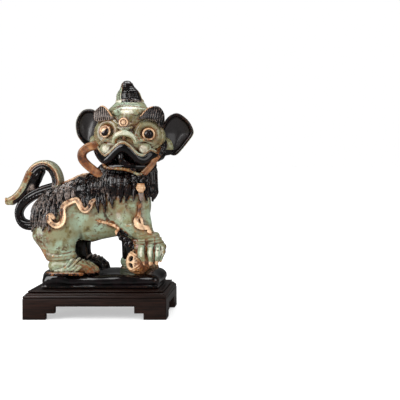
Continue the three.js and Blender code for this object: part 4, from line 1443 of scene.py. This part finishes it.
# ---- the lion, piece by piece --------------------------------------------------------------------------
def build_lion():
    pieces = []

    def piece(name, clay, material, nodes=None, luted=False, **paints):
        """Notes a piece down. luted: where it meets its neighbours, the glaze gathers brown on them."""
        pieces.append((name, clay, material, [name] if nodes is None else nodes, paints))
        if luted:
            STAINED_BY.append(clay)

    smooth_parts = ["torso", "right_foreleg", "left_foreleg", "right_hindleg", "left_hindleg"]
    paints = {"black": body_black, "amber": body_amber, "pale": body_pale, "rust": body_rust}
    piece("lion_body", BODY, JADE, smooth_parts, **paints)
    piece("chest_mane", chest_mane(), BLACK, luted=True, pale=thin_glaze_and_sheen)
    piece("back_mane", back_mane(), BLACK, luted=True, amber=back_amber, pale=thin_glaze_and_sheen)
    piece("rump_mane", rump_mane(), BLACK, luted=True, pale=thin_glaze_and_sheen)
    piece("neck_mane", neck_mane(), BLACK, ["neck"], luted=True, pale=thin_glaze_and_sheen)
    piece("jowl_leaf", jowl_leaf(), BLACK, [])
    piece("head", head(), JADE, black=head_black, amber=head_amber, pale=head_pale, rust=head_rust)
    piece("lower_jaw", lower_jaw(), JADE, black=jaw_black, pale=jaw_pale, rust=jaw_rust)
    piece("tongue", tongue(), BLACK)
    piece("nose", nose(), JADE, pale=nose_pale, rust=nose_rust)
    clay, groove = boss()
    piece("forehead_boss", clay, AMBER, luted=True, pale=even(0.5), rust=groove)
    piece("topknot", topknot(), JADE, black=topknot_black, pale=topknot_pale, rust=topknot_rust, rounds=6)
    # the grey on each brow's ridges is partly thinned glaze and partly painted sheen
    for side, shift, brow_thin_and_sheen in (("right", 0, 0.48), ("left", -12, 0.26)):
        lean, white_and_highlight = LEANS[side], eye_white_and_highlight(side)
        piece(f"{side}_eyeball", eyeball(side), BLACK, amber=white_and_highlight, pale=white_and_highlight)
        piece(f"{side}_eye_ring", eye_ring(side), AMBER, luted=True, pale=even(0.12))
        clay, amber = brow(side)
        piece(f"{side}_brow", clay, BLACK, luted=True, amber=amber, pale=even(brow_thin_and_sheen))
        piece(f"{side}_forehead_curl", forehead_curl(side), JADE)
        clay, paints = ear(side)
        piece(f"{side}_ear", clay, JADE, **paints)
        piece(f"{side}_scroll", flank_scroll(lean), AMBER, luted=True, pale=scroll_pale, rust=scroll_rust)
        flame = {"pale": flame_pale, "rust": flame_rust}
        piece(f"{side}_leg_scroll", leg_scroll(lean, shift), AMBER, luted=True, **flame)
        piece(f"{side}_elbow_tuft", elbow_tuft(lean), BLACK, luted=True, amber=elbow_amber)
    piece("right_strap", strap(RIGHT_STRAP, 11.5, 8.5, 0.4), AMBER, luted=True, rust=strap_rust)
    piece("left_strap", strap(LEFT_STRAP, 8.0, 5.5, 1.2), AMBER, luted=True, rust=strap_rust)
    piece("bell", bell(), AMBER, luted=True, black=bell_black, pale=bell_pale)
    piece("tail_stem", stem(), BLACK, luted=True)
    tail = {"amber": tail_amber, "pale": tail_olive, "rust": tail_rust}
    piece("tail_curl", curl(), JADE, luted=True, black=curl_black, **tail)
    piece("tail_plume", plume(), JADE, black=plume_black, **tail)
    paws = (("right_hindpaw", 13, False), ("left_hindpaw", 12, True), ("left_forepaw", 12, False))
    for node, rise, dark in paws:
        piece(node, standing_paw(node, rise), JADE, **paw_paint(node, dark))
    piece("right_forepaw", right_forepaw(), JADE, amber=forepaw_amber, pale=forepaw_pale, rust=forepaw_rust)
    clay, paints = ball()
    piece("ball", clay, AMBER, **paints)
    piece("plinth", plinth(), BLACK)
    for name, clay, material, nodes, paints in pieces:
        fired(name, clay, material, nodes, **paints)


# ---- the stand -----------------------------------------------------------------------------------------
RAIL_BACK = -15.5  # how far in from the stand's outer edge the rails reach
BOARD_THICK = 9.0
FOOT_HEIGHT, APRON_HEIGHT = 9.0, 18.6
BEAD_INSET, BEAD_HALF = 2.2, 0.55
LONG_SIDES = ("front", "back")
LONG_FOOT, SHORT_FOOT = (32.0, 45.0), (24.0, 34.0)  # how far a foot's toe and its knee reach in from the corner
TURNS = {  # the front member's (u along, v outward, z) turned to each side of the stand
    "front": lambda u, v, z: (u, -v, z),
    "back": lambda u, v, z: (-u, v, z),
    "left": lambda u, v, z: (-v, -u, z),
    "right": lambda u, v, z: (v, u, z),
}


def bevelled(name, rows, width, material, nodes):
    """A wooden member: rows of as many points each, joined into a closed mesh, with its sharp edges eased."""
    n = len(rows[0])
    last = n * len(rows) - n
    faces = [range(n), range(last, last + n)]
    for k in range(0, last, n):
        faces += [(k + i, k + (i + 1) % n, k + n + (i + 1) % n, k + n + i) for i in range(n)]
    made = bmesh.new()
    verts = [made.verts.new(point) for row in rows for point in row]
    for face in faces:
        made.faces.new([verts[i] for i in face])
    bmesh.ops.recalc_face_normals(made, faces=made.faces)
    made.normal_update()
    sharp = [e for e in made.edges if e.is_manifold and e.calc_face_angle() > math.radians(28)]
    rounding = {"segments": 2, "profile": 0.6, "affect": "EDGES", "clamp_overlap": True}
    bmesh.ops.bevel(made, geom=sharp, offset=width, **rounding)
    bmesh.ops.recalc_face_normals(made, faces=made.faces)
    made.verts.ensure_lookup_table()
    made.verts.index_update()
    points = [tuple(v.co) for v in made.verts]
    sides = [[v.index for v in f.verts] for f in made.faces]
    # bevel points, which take wear and a painted edge highlight
    worn_and_highlit = [float(np.mean([e.calc_face_angle(0) for e in v.link_edges]) > 0.12) for v in made.verts]
    made.free()
    obj = make_piece(name, points, sides, {"worn_and_highlit": worn_and_highlit}, material, nodes, "stand")
    obj.data.set_sharp_from_angle(angle=math.radians(35))


def side_member(side, name, rows, width, nodes):
    """A member on one side of the stand, from rows that are laid out for the front."""
    material = WOOD_X if side in LONG_SIDES else WOOD_Y
    bevelled(name, [[TURNS[side](*point) for point in row] for row in rows], width, material, nodes)


def rounded(corners, bulge, steps=5):
    """A profile whose outer stretch between two corners swells out as a half-round."""
    (x0, z0), (x1, z1) = corners
    t = np.linspace(0, 1, steps)
    return list(zip(x0 + (x1 - x0) * t + bulge * np.sin(math.pi * t), z0 + (z1 - z0) * t))


def board_outline(half, top, side, inset):
    """A board's face with its stepped feet, drawn in from the lower edges by an inset."""
    toe, knee = (half - reach + inset for reach in (LONG_FOOT if side in LONG_SIDES else SHORT_FOOT))
    end = half - (inset or 0.25)
    right = [(end, top), (end, inset), (toe, inset), (toe, FOOT_HEIGHT + inset), (knee, FOOT_HEIGHT + inset),
             (knee, APRON_HEIGHT + inset)]
    return right + [(-u, z) for u, z in reversed(right)]


def bracket_board(side, half, reach):
    """A mitred board with bracket feet, and a bead along its lower edge."""
    node = f"stand_board_{side}"
    top = node_box(node)[1][2]
    outer = board_outline(half, top, side, 0)
    mitre = 1 - (BOARD_THICK - 0.3) / half
    back = [(u * mitre if abs(abs(u) - half) < 0.5 else u, reach - BOARD_THICK, z) for u, z in outer]
    side_member(side, f"board_{side}", [[(u, reach, z) for u, z in outer], back], 0.7, [node])
    bead = board_outline(half, top, side, BEAD_INSET)[1:-1]
    for i, ends in enumerate(zip(bead, bead[1:])):
        rows = []
        for inset, v in ((0, reach - 0.2), (0.3, reach + 0.45)):
            u0, z0 = np.min(ends, axis=0) - BEAD_HALF + inset
            u1, z1 = np.max(ends, axis=0) + BEAD_HALF - inset
            rows.append([(u0, v, z0), (u1, v, z0), (u1, v, z1), (u0, v, z1)])
        side_member(side, f"bead_{side}_{i}", rows, 0.15, [])


def build_stand():
    low, high = node_box("stand_rail_front")
    half_length, half_depth, bottom, top = high[0], -low[1], low[2], high[2]
    profile = [(RAIL_BACK, bottom), (-1.2, bottom)]
    profile += rounded([(-0.8, bottom), (-1.6, bottom + 4.2)], 0.9) + [(-3.0, bottom + 4.6)]
    profile += rounded([(-3.0, bottom + 4.9), (-5.0, top)], 0.6, 4) + [(RAIL_BACK, top)]
    for side in TURNS:
        half, reach = (half_length, half_depth) if side in LONG_SIDES else (half_depth, half_length)
        rows = [[(end * (half + out - 0.12), reach + out, z) for out, z in profile] for end in (-1, 1)]
        side_member(side, f"rail_{side}", rows, 0.35, [f"stand_rail_{side}"])
        bracket_board(side, half, reach)
    low, high = node_box("stand_panel")
    a, b, top = (high[0] - low[0]) / 2, (high[1] - low[1]) / 2, high[2]
    steps = [(2.0, low[2]), (0.0, low[2] + 1.5), (0.0, top - 0.9), (1.0, top)]
    steps += [(6.0, top), (6.6, top - 0.7), (7.2, top)]  # with a groove round its edge
    corners = ((-1, -1), (1, -1), (1, 1), (-1, 1))
    rows = [[(i * (a - inset), j * (b - inset), z) for i, j in corners] for inset, z in steps]
    bevelled("panel", rows, 0.2, WOOD_X, ["stand_panel"])
    for name in ("front_left", "front_right", "back_left", "back_right"):
        node = bpy.data.objects[f"glue_block_{name}"]
        node.data.materials.clear()
        node.data.materials.append(WOOD_X)


# ---- the studio ----------------------------------------------------------------------------------------
AIM = np.array((0, 0, 170.0))  # what every light points at
LIGHTS = {  # where each stands (mm), its width and height (m) and its power (W)
    "key": ((-750, -1000, 1000), (0.8, 1.0), 10),
    "strip": ((-1050, -650, 340), (0.6, 1.2), 10),
    "fill": ((1100, -900, 700), (1.0, 1.0), 4.5),
    "top": ((0, 200, 1300), (1.0, 0.5), 8),
}
FLOOR_HALF = 12.0
FLOOR_GLOW = 0.45
ROOM, ROOM_MIRRORED = 1.02, 0.11  # the room is dimmer where the glazes mirror it
CAMERA_AT, CAMERA_DIP = (262, -1200, 235), 1.68  # millimetres, and degrees below level


def softbox(name, at, size, power):
    light = bpy.data.lights.new(name, "AREA")
    light.shape = "RECTANGLE"
    light.size, light.size_y = size
    light.energy = power
    obj = bpy.data.objects.new(name, light)
    obj.location = HOME + np.array(at) * MM
    x, y, z = AIM - at
    obj.rotation_euler = (math.pi / 2 + math.atan2(z, math.hypot(x, y)), 0, math.atan2(-x, y))
    bpy.context.scene.collection.objects.link(obj)


def build_studio():
    floor = bpy.data.meshes.new("floor")
    corners = [(x * FLOOR_HALF, y * FLOOR_HALF, 0) for x, y in ((-1, -1), (1, -1), (1, 1), (-1, 1))]
    floor.from_pydata(corners, [], [(0, 1, 2, 3)])
    s = Shader("paper")
    mirrored = s.put("ShaderNodeLightPath", {}, output="Is Glossy Ray")
    tint = s.mix(mirrored, PAPER, PAPER_MIRRORED)  # the paper mirrors dimly in the glazes too
    glow = s.math("MULTIPLY_ADD", mirrored, -FLOOR_GLOW, FLOOR_GLOW)
    paper = s.finish(Base_Color=tint, Roughness=0.9, Emission_Color=WHITE, Emission_Strength=glow)
    floor.materials.append(paper)
    floor_object = bpy.data.objects.new("floor", floor)
    bpy.context.scene.collection.objects.link(floor_object)
    world = bpy.data.worlds.new("studio")
    world.use_nodes = True
    tree = world.node_tree
    mirrored = tree.nodes.new("ShaderNodeLightPath").outputs["Is Glossy Ray"]
    strength = tree.nodes.new("ShaderNodeMapRange")
    strength.inputs["To Min"].default_value = ROOM
    strength.inputs["To Max"].default_value = ROOM_MIRRORED
    tree.links.new(mirrored, strength.inputs["Value"])
    tree.nodes["Background"].inputs[0].default_value = WALLS
    tree.links.new(strength.outputs[0], tree.nodes["Background"].inputs[1])
    bpy.context.scene.world = world
    for name, (at, size, power) in LIGHTS.items():
        softbox(name, at, size, power)
    bpy.context.scene.view_settings.view_transform = "Standard"


def build_camera():
    camera = bpy.data.cameras.new("camera")
    camera.sensor_width = 36.0
    camera.lens = 73.9
    camera.clip_start, camera.clip_end = 0.05, 50
    camera.shift_x, camera.shift_y = -0.204, -0.06  # the photograph's frame holds a second lion to the right
    obj = bpy.data.objects.new("camera", camera)
    obj.location = HOME + np.array(CAMERA_AT) * MM
    obj.rotation_euler = (math.radians(90 - CAMERA_DIP), 0, 0)
    bpy.context.scene.collection.objects.link(obj)
    bpy.context.scene.camera = obj


build_lion()
build_stand()
build_studio()
build_camera()
